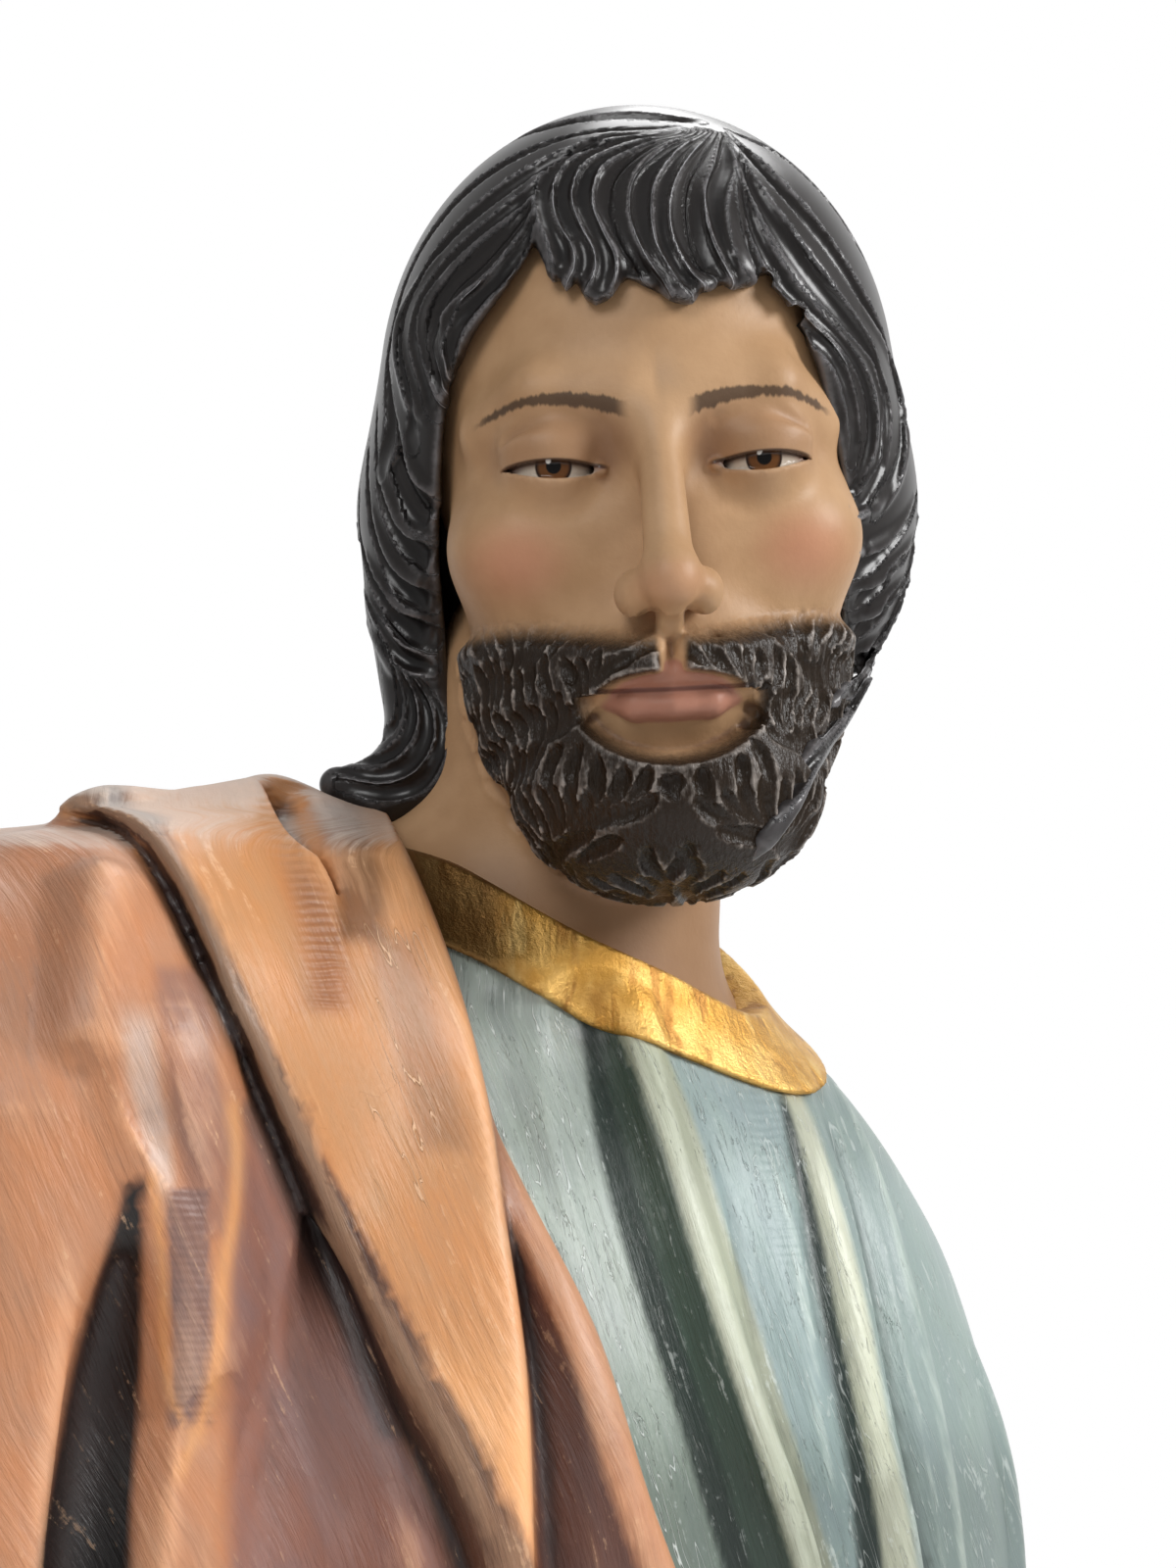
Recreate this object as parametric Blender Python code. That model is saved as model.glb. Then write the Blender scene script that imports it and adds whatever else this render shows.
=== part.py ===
"""Bust of a bearded saint, carved from one block of wood: head, hair, neck, gilt-edged tunic and mantle.

Lengths are millimetres until the mesh is made, in metres. The bust faces -Y, +Z is up, and the flat sawn
underside lies on the ground at Z = 0. The form is one field, negative inside the wood: blended masses for
the body, fold heights added over the garments, and locks that gouges cut out of the hair and beard. The
head is modelled upright in its own frame, eye line at the origin and face towards -Y, then turned and bowed.
"""

import math

import bmesh
import bpy
import numpy as np
from mathutils import Euler, Matrix

# Driving dimensions
HEAD_HEIGHT = 232.0  # chin to crown, without the hair
BUST_HEIGHT = 285.0  # from the sawn underside to the pit of the neck
CLOTH_THICKNESS = 9.0  # how far the mantle stands off the tunic
COLLAR_WIDTH = 30.0  # of the gilt border round the neck
TRIANGLES = 9500  # in the whole solid
GRID_STEP = 3.0  # between the field's samples

# Pose of the head, in degrees: turned to its own right, bowed, and leaning
HEAD_TURN, HEAD_BOW, HEAD_LEAN = -37.0, 12.0, -3.0
HEAD_PLACE = (-8.0, -25.0, 470.0)  # of the middle of the eye line

# The carving is drawn for a head and a trunk of these heights, and its lengths are shares of them
DRAWN_HEAD, DRAWN_BUST = 232.0, 285.0

F32 = np.float32


# Fields: each takes coordinates (x, y, z) and gives the distance to a surface, negative inside
def join(a, b, soft):
    """Union of two solids, blended over a width."""
    h = np.clip(0.5 + 0.5 * (b - a) / soft, 0, 1)
    return b + (a - b) * h - soft * h * (1 - h)


def cut(a, b, soft):
    """The first solid with the second taken away, blended over a width."""
    return -join(-a, b, soft)


def ellipsoid(p, centre, radii):
    q = [(p[i] - F32(centre[i])) / F32(radii[i]) for i in range(3)]
    k = np.sqrt(q[0] ** 2 + q[1] ** 2 + q[2] ** 2) + F32(1e-6)
    g = np.sqrt(sum((q[i] / F32(radii[i])) ** 2 for i in range(3))) + F32(1e-6)
    return k * (k - 1) / g


def ball(p, centre, radius):
    return np.sqrt(sum((p[i] - F32(centre[i])) ** 2 for i in range(3))) - F32(radius)


def limb(p, start, end, r_start, r_end):
    """Round bar between two points, with a radius at each."""
    along = [end[i] - start[i] for i in range(3)]
    length2 = sum(a * a for a in along)
    t = np.clip(sum((p[i] - F32(start[i])) * F32(along[i] / length2) for i in range(3)), 0, 1)
    d = np.sqrt(sum((p[i] - F32(start[i]) - t * F32(along[i])) ** 2 for i in range(3)))
    return d - (F32(r_start) + F32(r_end - r_start) * t)


def ease(t):
    t = np.clip(t, 0, 1)
    return t * t * (3 - 2 * t)


def mirrored(p):
    return (np.abs(p[0]), p[1], p[2])


# Head, in its own frame
def skull(p):
    """Head without hair, beard, eyes or ears: the large masses of the face."""
    m = mirrored(p)
    f = ellipsoid(p, (0, 6, 30), (75, 96, 86))
    f = join(f, ellipsoid(p, (0, -30, -38), (60, 60, 80)), 24)
    f = join(f, ellipsoid(p, (0, -38, -78), (49, 48, 40)), 18)
    f = join(f, ball(p, (0, -76, -99), 17), 16)
    f = join(f, ellipsoid(m, (42, -58, -24), (21, 24, 18)), 20)
    brow = join(limb(m, (6, -87, 14), (38, -81, 18), 7, 7), limb(m, (38, -81, 18), (56, -60, 8), 7, 6), 5)
    f = join(f, brow, 12)
    f = cut(f, ellipsoid(m, (31, -98, -3), (17, 15, 12)), 9)
    f = join(f, ellipsoid(p, (0, -72, -68), (30, 31, 24)), 14)
    return f


def nose(f, p):
    m = mirrored(p)
    f = join(f, limb(p, (0, -90, 8), (0, -111, -36), 6.5, 8.5), 9)
    f = join(f, ball(p, (0, -114, -41), 9.6), 6)
    f = join(f, limb(p, (0, -111, -48), (0, -101, -53), 4.6, 4.5), 4)
    f = join(f, ellipsoid(m, (11, -103, -43), (6.5, 10, 8)), 5)
    f = cut(f, limb(m, (7, -113, -51), (8.5, -103, -51), 3.3, 2.6), 2)
    return f


def eyes(f, p):
    m = mirrored(p)
    q = (m[0], m[1], m[2])
    eye = (31, -75.5, -2)
    globe = ball(q, eye, 13.4)
    # the lids are shells over the globe, and the opening between them is a lens seen from the front
    u = q[0] - F32(eye[0])
    v = q[2] - F32(eye[2])
    arch = 1 - (u / F32(16.0)) ** 2
    upper = F32(1.5) * arch - F32(0.6)
    lower = F32(-4.6) * arch - F32(0.6)
    opening = np.maximum(v - upper, lower - v)
    lid = ball(q, eye, 15.6)
    lid = join(lid, ellipsoid(q, (31, -77, 5), (15, 13.5, 8)), 4)
    f = join(f, lid, 5)
    slot = np.maximum(opening, q[1] + F32(70))
    f = cut(f, slot, 1.2)
    return join(f, globe, 0.8)


def mouth(f, p):
    m = mirrored(p)
    f = join(f, limb(m, (0, -103, -66.5), (13, -100.5, -68.5), 4.6, 4.2), 4)
    f = join(f, limb(m, (13, -100.5, -68.5), (25, -91.5, -72), 4.2, 1.6), 4)
    f = join(f, limb(m, (0, -101.5, -77), (12, -99.5, -76.2), 5.2, 4.6), 4)
    f = join(f, limb(m, (12, -99.5, -76.2), (23, -91.5, -73), 4.6, 1.5), 4)
    f = cut(f, limb(m, (0, -108.5, -71.8), (13, -105.3, -71.3), 1.3, 1.3), 1.5)
    f = cut(f, limb(m, (13, -105.3, -71.3), (27, -92.5, -72.6), 1.3, 0.8), 1.5)
    f = cut(f, limb(p, (0, -109, -54), (0, -109.5, -63), 3, 3), 3)
    f = cut(f, ellipsoid(p, (0, -106, -90), (18, 9, 6)), 7)
    return f


def hair_mass(p):
    """Outer form of the hair, as if it were one smooth cap."""
    f = ellipsoid(p, (0, 10, 34), (88, 106, 96))
    f = join(f, ellipsoid(p, (-1, 22, -6), (98, 82, 66)), 22)
    f = join(f, ellipsoid(p, (-4, 54, -58), (64, 54, 68)), 26)
    # right of the face it drops to the shoulder and flips outward
    f = join(f, limb(p, (-72, 14, -36), (-68, 6, -84), 24, 22), 14)
    f = join(f, limb(p, (-68, 4, -90), (-94, -2, -98), 22, 12), 12)
    f = join(f, limb(p, (-94, -2, -98), (-108, -4, -94), 12, 6), 6)
    # left of the face it tucks in behind the jaw and the neck
    f = join(f, limb(p, (60, 22, -34), (20, 50, -126), 26, 13), 16)
    return f


def beard_amount(p):
    """How full the beard is, from 0 on bare skin to 1."""
    line = F32(-49) - F32(8) * ease(1 - np.abs(p[0]) / F32(48))
    a = ease((line - p[2]) / F32(11))
    low = p[2] < -72
    lips = np.sqrt((p[0] / np.where(low, F32(29), F32(28))) ** 2 + ((p[2] + F32(72)) / np.where(low, F32(20), F32(7))) ** 2)
    a = a * ease((lips - F32(0.95)) / F32(0.4))
    philtrum = ease((F32(8.5) - np.abs(p[0])) / F32(4)) * ease((p[2] + F32(76)) / F32(6))
    throat = ease((F32(25) - p[1]) / F32(20))
    return a * (1 - philtrum) * throat


def face(p):
    s = skull(p)
    f = eyes(mouth(nose(s, p), p), p)
    full = ellipsoid(p, (0, -62, -100), (43, 42, 31))
    a = beard_amount(p)
    f = join(f, full + F32(14) * (1 - a), 9)
    return f - F32(6) * a


# Strokes: grooves and ridges that follow curves laid on a form
def curve(controls, count):
    """Points along a Catmull-Rom curve through control points of any dimension."""
    c = np.array(controls, float)
    c = np.vstack([2 * c[0] - c[1], c, 2 * c[-1] - c[-2]])
    at = np.linspace(0, len(c) - 3, count)
    i = np.minimum(at.astype(int), len(c) - 4)
    t = (at - i)[:, None]
    a, b, d, e = c[i], c[i + 1], c[i + 2], c[i + 3]
    return 0.5 * (2 * b + (d - a) * t + (2 * a - 5 * b + 4 * d - e) * t ** 2 + (3 * b - a - 3 * d + e) * t ** 3)


def land(field, starts, directions, first, last, steps=70):
    """Where rays from outside first meet a form, or come nearest to it."""
    t = np.linspace(first, last, steps)
    p = starts[:, None, :] + directions[:, None, :] * t[None, :, None]
    flat = p.reshape(-1, 3).astype(F32)
    f = field([flat[:, 0], flat[:, 1], flat[:, 2]]).reshape(len(starts), steps)
    hit = np.where((f < 0).any(1), (f < 0).argmax(1), f.argmin(1))
    row = np.arange(len(starts))
    before = np.maximum(hit - 1, 0)
    a, b = f[row, before], f[row, hit]
    mix = np.where((a > 0) & (b < 0), a / np.where(a - b == 0, 1, a - b), 1)
    at = t[before] + (t[hit] - t[before]) * mix
    return starts + directions * at[:, None]


def near_stroke(p, points, reach):
    """Which of the points, sorted by x, lie near a stroke, how far off, and how far along it from 0 to 1."""
    low, high = points.min(0) - reach, points.max(0) + reach
    a, b = np.searchsorted(p[0], [low[0], high[0]])
    y, z = p[1][a:b], p[2][a:b]
    who = np.nonzero((y > low[1]) & (y < high[1]) & (z > low[2]) & (z < high[2]))[0] + a
    q = [p[i][who] for i in range(3)]
    best = np.full(len(who), 1e9, F32)
    where = np.zeros(len(who), F32)
    for n in range(len(points) - 1):
        u, v = points[n].astype(F32), (points[n + 1] - points[n]).astype(F32)
        t = np.clip(sum((q[i] - u[i]) * v[i] for i in range(3)) / max(float(v @ v), 1e-6), 0, 1)
        d = sum((q[i] - u[i] - t * v[i]) ** 2 for i in range(3))
        closer = d < best
        best[closer] = d[closer]
        where[closer] = (n + t[closer]) / (len(points) - 1)
    return who, np.sqrt(best), where


# Body, in the bust's frame. The folds are laid out as the bust is seen from a point before its right
# shoulder: a place on it is (across, up) in thousandths of the distance along the line of sight.
LOOKOUT = (-413.3, -513.9, 234.0)
LOOK_YAW, LOOK_PITCH = math.radians(38), math.radians(12)
SIGHT = (math.sin(LOOK_YAW) * math.cos(LOOK_PITCH), math.cos(LOOK_YAW) * math.cos(LOOK_PITCH), math.sin(LOOK_PITCH))
ACROSS = (math.cos(LOOK_YAW), -math.sin(LOOK_YAW), 0.0)
UPWARD = tuple(np.cross(ACROSS, SIGHT))
NECK_FOOT, NECK_TOP = (-6.0, 36.0, 262.0), (-8.0, 8.0, 410.0)

# Edges of the mantle in that view, from the shoulder down: the shawl fold's two sides, and the under layer's
SHAWL_LEFT = ((-262, -12), (-232, -24), (-212, -50), (-180, -120), (-150, -190), (-110, -285), (-60, -400), (-40, -560))
SHAWL_RIGHT = ((-105, -10), (-85, -50), (-65, -105), (-50, -165), (-42, -220), (-31, -300), (-27, -400), (-24, -560))
UNDER_RIGHT = ((-105, -10), (-90, -55), (-50, -168), (-30, -210), (5, -280), (32, -365), (62, -450), (88, -560))

# Folds: half width and height in mm, whether crested, tapering at (start, end), and the course in that view
FOLDS = (
    # tunic: deep groove, and the sharp ridges and shallow channels beside it
    (20, -15, 1, 0, 0, ((4, -125), (14, -195), (38, -285), (78, -400), (120, -760))),
    (13, 7, 1, 0, 0, ((20, -120), (38, -180), (62, -250), (85, -320), (118, -400), (160, -760))),
    (15, -6, 0, 1, 0, ((66, -175), (84, -260), (108, -340), (128, -410), (150, -760))),
    (10, -7, 1, 1, 0, ((102, -165), (116, -230), (130, -310), (142, -400), (158, -760))),
    (9, 6, 1, 1, 0, ((92, -140), (116, -195), (134, -265), (148, -335), (162, -400), (178, -760))),
    (8, -5, 0, 1, 0, ((124, -160), (144, -230), (160, -310), (176, -400), (186, -760))),
    (7, 4, 1, 1, 0, ((118, -138), (146, -200), (168, -280), (184, -360), (194, -460))),
    (9, -4, 0, 1, 0, ((-48, -120), (-26, -190), (4, -260), (30, -330), (52, -400))),
    # shawl fold: rolled edge, the gouged valley, the broad ridge beside it
    (15, 6, 0, 0, 1, ((-262, -8), (-236, -14), (-206, -42), (-178, -95), (-150, -150), (-130, -200))),
    (16, -11, 0, 1, 1, ((-164, -8), (-150, -36), (-138, -66), (-133, -98), (-134, -116))),
    (22, 6, 0, 0, 1, ((-152, 8), (-128, -10), (-112, -60), (-98, -120), (-86, -180))),
    (15, -8, 1, 0, 0, ((-212, -52), (-180, -124), (-149, -194), (-108, -289), (-58, -404), (-38, -560))),
    (13, -7, 1, 1, 0, ((-50, -170), (-39, -225), (-27, -300), (-18, -400), (-10, -560))),
    # over the arm: the long finger of cloth, the hollow beside it, the thin ridge, the outer fold
    (24, 12, 0, 1, 1, ((-222, -90), (-216, -150), (-208, -230), (-204, -315), (-206, -330))),
    (20, -26, 1, 1, 0, ((-232, -200), (-240, -260), (-248, -330), (-256, -400), (-262, -760))),
    (9, 7, 1, 1, 0, ((-172, -150), (-178, -230), (-190, -300), (-205, -400), (-222, -760))),
    (26, 10, 0, 1, 0, ((-278, -150), (-284, -230), (-290, -320), (-296, -420), (-300, -760))),
    (30, -7, 0, 1, 0, ((-150, -230), (-150, -300), (-142, -400), (-136, -760))),
    (16, 7, 0, 0, 1, ((-250, -60), (-252, -100), (-256, -150))),
)


# Folds that this view doesn't show, in groups: bearings round the trunk of the first and last (0 is the front,
# 90 the left shoulder), how many, their highest point, how far they swing on the way down, half width, height
DRAPES = (
    (62, 128, 5, 232, 8, 13, 6),
    (140, 158, 2, 250, 10, 15, -6),
    (172, 236, 5, 318, -24, 19, 9),
    (246, 288, 4, 318, -6, 16, 8),
)


def neck(p):
    return limb(p, NECK_FOOT, NECK_TOP, 60, 51)


def body(p):
    """Trunk and shoulders under the garments."""
    f = ellipsoid(p, (0, 18, 105), (170, 106, 212))
    f = join(f, limb(p, (-55, 40, 300), (-182, 28, 268), 56, 58), 34)
    f = join(f, limb(p, (-84, 50, 318), (-122, 38, 302), 44, 46), 20)
    f = join(f, limb(p, (-188, 22, 262), (-214, 12, -30), 56, 52), 44)
    f = join(f, limb(p, (40, 46, 266), (118, 48, 196), 44, 44), 34)
    f = join(f, limb(p, (118, 46, 196), (140, 44, -30), 44, 46), 44)
    return f


def dressed(p):
    return join(body(p), neck(p) - F32(6), 22)


def in_view(p):
    q = [p[i] - F32(LOOKOUT[i]) for i in range(3)]
    deep = np.maximum(sum(q[i] * F32(SIGHT[i]) for i in range(3)), 50)
    across = sum(q[i] * F32(ACROSS[i]) for i in range(3)) / deep * 1000
    up = sum(q[i] * F32(UPWARD[i]) for i in range(3)) / deep * 1000
    return across, up, deep


def beside(across, up, deep, edge):
    """Distance in mm to the right of an edge that runs down the view."""
    e = curve(edge, 60)
    e = e[np.argsort(e[:, 1])]
    at = np.interp(up, e[:, 1], e[:, 0]).astype(F32)
    slope = np.interp(up, 0.5 * (e[1:, 1] + e[:-1, 1]), np.diff(e[:, 0]) / np.maximum(np.diff(e[:, 1]), 1e-3))
    return (across - at) / np.sqrt(1 + slope ** 2).astype(F32) * deep / 1000


def laid_out(fold_table, field):
    """The folds' courses on the form."""
    right, up, ahead = np.array(ACROSS), np.array(UPWARD), np.array(SIGHT)
    strokes = []
    for half, height, crested, start, end, course in fold_table:
        c = curve(course, 6 * len(course))
        rays = ahead + right * c[:, :1] / 1000 + up * c[:, 1:] / 1000
        points = land(field, np.repeat([LOOKOUT], len(c), 0), rays, 300, 900)
        points = points[points[:, 2] > -45]
        strokes.append((points, half, height, crested, start, end))
    return strokes


def draped(groups, field):
    """The folds of the sides and back, each a smooth swing from shoulder to foot."""
    strokes = []
    for first, last, count, top, swing, half, height in groups:
        for n in range(count):
            share = n / max(count - 1, 1)
            down = np.linspace(0, 1, 14)
            around = np.radians(first + (last - first) * share + swing * down + 3 * np.sin(2.4 * math.pi * down + n))
            way = np.stack([np.sin(around), -np.cos(around), 0 * down], 1)
            level = top - 30 * abs(2 * share - 1) - (top + 30) * down
            start = np.stack([-25 + 320 * way[:, 0], 20 + 320 * way[:, 1], level], 1)
            strokes.append((land(field, start, -way, 0, 320), half, height, n % 2, 1, 0))
    return strokes


def fold_heights(p, strokes):
    """Height that the folds add at each point."""
    h = np.zeros(len(p[0]), F32)
    for points, half, height, crested, start, end in strokes:
        who, off, along = near_stroke(p, points, half)
        r = np.clip(1 - off / F32(half), 0, 1)
        profile = r ** F32(1.4) if crested else (1 - (1 - r) ** 2) ** 2
        fade = (ease(along / 0.25) if start else 1) * (ease((1 - along) / 0.2) if end else 1)
        h[who] += F32(height) * profile * fade
    return h


def collar_height(p):
    """Height above the neck opening's edge, which is lowest at the front left and rises to the nape."""
    around = np.arctan2(p[0] + F32(6), F32(36) - p[1])
    turn = around - F32(math.radians(20))
    rise = 55 * (1 - np.exp(-(1 - np.cos(turn)) / F32(0.55)))
    wave = 3.0 * np.sin(5 * around + F32(1.2))
    return (p[2] - F32(DRAWN_BUST + 10) - rise - wave) * F32(0.9)


def garments(p, strokes, drapes):
    """Height of the tunic, collar and mantle over the clothed body."""
    across, up, deep = in_view(p)
    front = ease((F32(52) - p[1]) / F32(30))
    behind = (p[0] + F32(80)) * F32(0.795) + (p[2] - F32(362)) * F32(0.607)
    shawl_right = beside(across, up, deep, SHAWL_RIGHT) * front + behind * (1 - front)
    under_right = beside(across, up, deep, UNDER_RIGHT) * front + (behind - 2) * (1 - front)
    shawl_left = beside(across, up, deep, SHAWL_LEFT) * front + (p[0] + F32(184)) * (1 - front)

    def side(s, width=3.0):
        return ease(s / F32(width) + F32(0.5))

    h = np.zeros(len(p[0]), F32)
    c = collar_height(p)
    h += F32(2.4) * side(c + F32(COLLAR_WIDTH * 0.8), 2.0)
    t = F32(CLOTH_THICKNESS)
    under = t * F32(0.6) + F32(3) * np.exp(-((under_right + 6) / F32(6)) ** 2)
    h = h + (under - h) * side(-under_right)
    shawl = t * F32(1.5) + 0 * under
    arm = t * F32(0.7) + 0 * under
    h = h + (shawl - h) * side(-shawl_right)
    left = side(-shawl_left, 8.0)
    h = h + (arm - h) * left * side(-shawl_right) * front
    return h + fold_heights(p, strokes) * front + fold_heights(p, drapes)


def to_head(p):
    turn = Euler((math.radians(HEAD_BOW), math.radians(HEAD_LEAN), math.radians(HEAD_TURN))).to_matrix()
    q = [p[i] - F32(HEAD_PLACE[i]) for i in range(3)]
    return [sum(F32(turn[r][c]) * q[r] for r in range(3)) for c in range(3)]


def from_head(points):
    turn = np.array(Euler((math.radians(HEAD_BOW), math.radians(HEAD_LEAN), math.radians(HEAD_TURN))).to_matrix())
    return points @ turn.T + np.array(HEAD_PLACE)


# Hair round the face, in the same view: the edges of the face's opening, then families of locks. A family is
# a row of guide locks, each from root to tip, and the gouge runs between them.
OPEN_LEFT = ((-26, 300), (-27, 278), (-40, 255), (-55, 235), (-68, 215), (-73, 185), (-75, 150), (-76, 120), (-73, 80),
             (-71, 50), (-67, 20), (-62, -10), (-45, -60))
OPEN_RIGHT = ((85, 300), (88, 262), (101, 245), (113, 225), (122, 190), (128, 160), (130, 135), (129, 100), (127, 75),
              (122, 40), (112, 5), (95, -35), (75, -60))
OPEN_TOP = ((-60, 240), (-27, 272), (-17, 260), (3, 250), (25, 253), (50, 249), (74, 257), (90, 262), (110, 250), (130, 220))
FRINGE = (
    ((62, 338), (30, 341), (0, 335), (-20, 320), (-26, 300)),
    ((63, 336), (34, 336), (8, 328), (-6, 308), (-16, 285), (-18, 264)),
    ((64, 335), (36, 332), (14, 322), (2, 305), (1, 280), (1, 254)),
    ((66, 333), (44, 328), (30, 312), (26, 292), (30, 270), (36, 252)),
    ((67, 331), (52, 325), (37, 312), (33, 294), (38, 268), (51, 248)),
    ((69, 329), (60, 318), (53, 302), (56, 284), (64, 266), (71, 256)),
    ((72, 328), (76, 315), (70, 300), (70, 280), (78, 264), (86, 258)),
)
LEFT_TOP = (
    ((60, 343), (20, 346), (-30, 333), (-70, 300), (-95, 260), (-104, 215), (-110, 165), (-116, 130)),
    ((10, 340), (-20, 326), (-50, 308), (-78, 280), (-95, 248), (-101, 215), (-107, 180), (-112, 150)),
    ((-24, 318), (-46, 300), (-70, 278), (-88, 250), (-96, 225), (-98, 206), (-86, 194)),
    ((-26, 308), (-40, 290), (-58, 268), (-76, 250), (-83, 228), (-80, 206), (-73, 198)),
    ((-26, 296), (-36, 276), (-50, 258), (-62, 238), (-70, 218), (-72, 200)),
)
LEFT_SIDE = (
    ((-108, 205), (-100, 180), (-90, 152), (-80, 136)),
    ((-112, 180), (-104, 150), (-92, 124), (-79, 112)),
    ((-116, 155), (-108, 122), (-94, 100), (-80, 92)),
    ((-117, 125), (-108, 94), (-94, 74), (-80, 60)),
)
LEFT_FLIP = (
    ((-119, 140), (-116, 90), (-103, 50), (-101, 34), (-110, 20), (-132, 12)),
    ((-112, 110), (-102, 70), (-92, 40), (-94, 16), (-112, 2), (-134, 4)),
    ((-102, 90), (-90, 56), (-80, 30), (-84, 6), (-102, -6), (-126, -4)),
    ((-90, 66), (-78, 40), (-70, 10), (-78, -8), (-96, -14), (-110, -14)),
)
RIGHT_TOP = (
    ((72, 338), (108, 322), (132, 290), (150, 250), (162, 212), (170, 170), (173, 140)),
    ((75, 333), (100, 315), (122, 288), (138, 254), (154, 222), (163, 186), (158, 158), (144, 138), (132, 128)),
    ((77, 326), (93, 298), (112, 272), (132, 248), (150, 222), (158, 188), (152, 160), (138, 140), (130, 132)),
    ((78, 316), (88, 290), (102, 264), (118, 247), (134, 232), (146, 205), (148, 175), (138, 150)),
    ((76, 300), (82, 274), (94, 254), (108, 240), (124, 222), (134, 195), (136, 165)),
)
RIGHT_SIDE = (
    ((170, 165), (158, 130), (142, 108), (130, 100)),
    ((172, 148), (158, 112), (144, 88), (131, 74)),
    ((170, 130), (152, 90), (138, 62), (128, 42)),
    ((160, 100), (142, 64), (128, 32), (112, -4)),
    ((148, 72), (132, 34), (112, -8), (84, -44)),
)
# The same for the hair that this view doesn't show: (bearing round the head, height) in degrees, 0 being the face
BACK = (
    ((70, 74), (80, 60), (78, 40), (88, 20), (82, -2), (92, -22), (106, -38)),
    ((74, 76), (100, 60), (102, 40), (112, 18), (106, -6), (116, -28), (124, -46)),
    ((84, 78), (130, 62), (132, 38), (140, 14), (134, -10), (144, -34), (146, -52)),
    ((110, 80), (162, 62), (164, 38), (171, 14), (164, -10), (174, -34), (172, -54)),
    ((150, 84), (196, 62), (200, 38), (204, 14), (198, -10), (208, -34), (200, -54)),
    ((240, 86), (230, 62), (234, 38), (236, 12), (230, -12), (238, -34), (228, -52)),
    ((300, 84), (262, 62), (262, 38), (260, 12), (256, -12), (260, -30), (250, -46)),
    ((320, 80), (290, 60), (284, 38), (284, 14), (279, -10), (282, -28), (274, -40)),
)


class Head:
    """Hair, face and beard, in the head's own frame."""

    def __init__(self, beard_rows=7):
        self.cuts = []
        families = ((FRINGE, 11, 5), (LEFT_TOP, 13, 6), (LEFT_SIDE, 11, 5), (LEFT_FLIP, 10, 5), (RIGHT_TOP, 13, 6),
                    (RIGHT_SIDE, 11, 5))
        for family, wide, deep in families:
            for course in between(family, 1):
                rays = np.array(SIGHT) + np.array(ACROSS) * course[:, :1] / 1000 + np.array(UPWARD) * course[:, 1:] / 1000
                points = land(lambda p: hair_mass(to_head(p)), np.repeat([LOOKOUT], len(course), 0), rays, 450, 800)
                self.cuts.append(self.groove(points_to_head(points), hair_mass, wide, deep))
        for way in between([bearing(np.array(guide)) for guide in BACK], 2):
            way /= np.linalg.norm(way, axis=1)[:, None]
            points = land(hair_mass, np.array((0, 12, 0)) + way * 220, -way, 0, 200)
            self.cuts.append(self.groove(points, hair_mass, 12, 5))
        self.beard = self.beard_cuts(beard_rows)

    @staticmethod
    def groove(points, form, wide, deep):
        """A round gouge's course over a form, with its radius: it dips in and lifts out at the ends."""
        radius = (wide ** 2 / 4 + deep ** 2) / (2 * deep)
        at = np.linspace(0, 1, len(points))
        dip = ease(at / 0.15) * ease((1 - at) / 0.2)
        return points + normals(form, points) * (radius - deep * dip)[:, None], radius

    def beard_cuts(self, rows):
        rng = np.random.default_rng(5)
        cuts = []
        along = np.linspace(0, 1, 6)
        for row in range(rows):
            share = row / (rows - 1)
            count = int(17 - 8 * share ** 2)
            for n in range(count):
                around = ((n + 0.5 * (row % 2)) / (count - 1) * 2 - 1) * 96 + rng.uniform(-2, 2)
                height = -55 - 72 * share + rng.uniform(-2.5, 2.5)
                curl = rng.uniform(2, 5) * (1 if (n + row) % 3 else -1)
                long = rng.uniform(15, 20)
                angle = np.radians(around * (1 - 0.16 * along) + curl * np.sin(along * math.pi))
                way = np.stack([np.sin(angle), -np.cos(angle), 0 * angle], 1)
                drop = np.stack([0 * along, 0 * along, height - long * along], 1)
                lean = np.array((0, 0, 0.5 * share))
                points = land(face, np.array((0, -30, 0)) + drop + 130 * (way - lean), -(way - lean), 0, 130)
                if beard_amount([points[:, i] for i in range(3)]).min() > 0.25:
                    cuts.append(self.groove(points, face, 8.5, 4))
        return cuts

    def __call__(self, p):
        across, up, deep = in_view([from_head_axis(p, i) for i in range(3)])
        w = np.maximum(beside(across, up, deep, OPEN_LEFT) * -1, beside(across, up, deep, OPEN_RIGHT))
        top = np.interp(across, [c[0] for c in OPEN_TOP], [c[1] for c in OPEN_TOP]).astype(F32)
        w = np.maximum(w, (up - top) * deep / 1000)
        w = np.maximum(w, p[1] - F32(10))
        h = hair_mass(p)
        h = gouge(h, p, self.cuts, 1.5)
        h = cut(h, w, 6)
        f = gouge(face(p), p, self.beard, 1.0)
        return join(f, h, 1.5)


def points_to_head(points):
    return np.stack([c for c in to_head([points[:, i] for i in range(3)])], 1).astype(float)


def from_head_axis(p, axis):
    turn = Euler((math.radians(HEAD_BOW), math.radians(HEAD_LEAN), math.radians(HEAD_TURN))).to_matrix()
    return sum(F32(turn[axis][c]) * p[c] for c in range(3)) + F32(HEAD_PLACE[axis])


def bearing(course):
    a, e = np.radians(course[:, 0]), np.radians(course[:, 1])
    return np.stack([np.sin(a) * np.cos(e), -np.cos(a) * np.cos(e), np.sin(e)], 1)


def between(family, count):
    """Courses spread evenly between a family's guides."""
    smooth = [curve(guide, 22) for guide in family]
    courses = []
    for n in range(len(smooth) - 1):
        for k in range(count):
            t = (k + 0.5) / count
            courses.append(smooth[n] * (1 - t) + smooth[n + 1] * t)
    return courses


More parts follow.
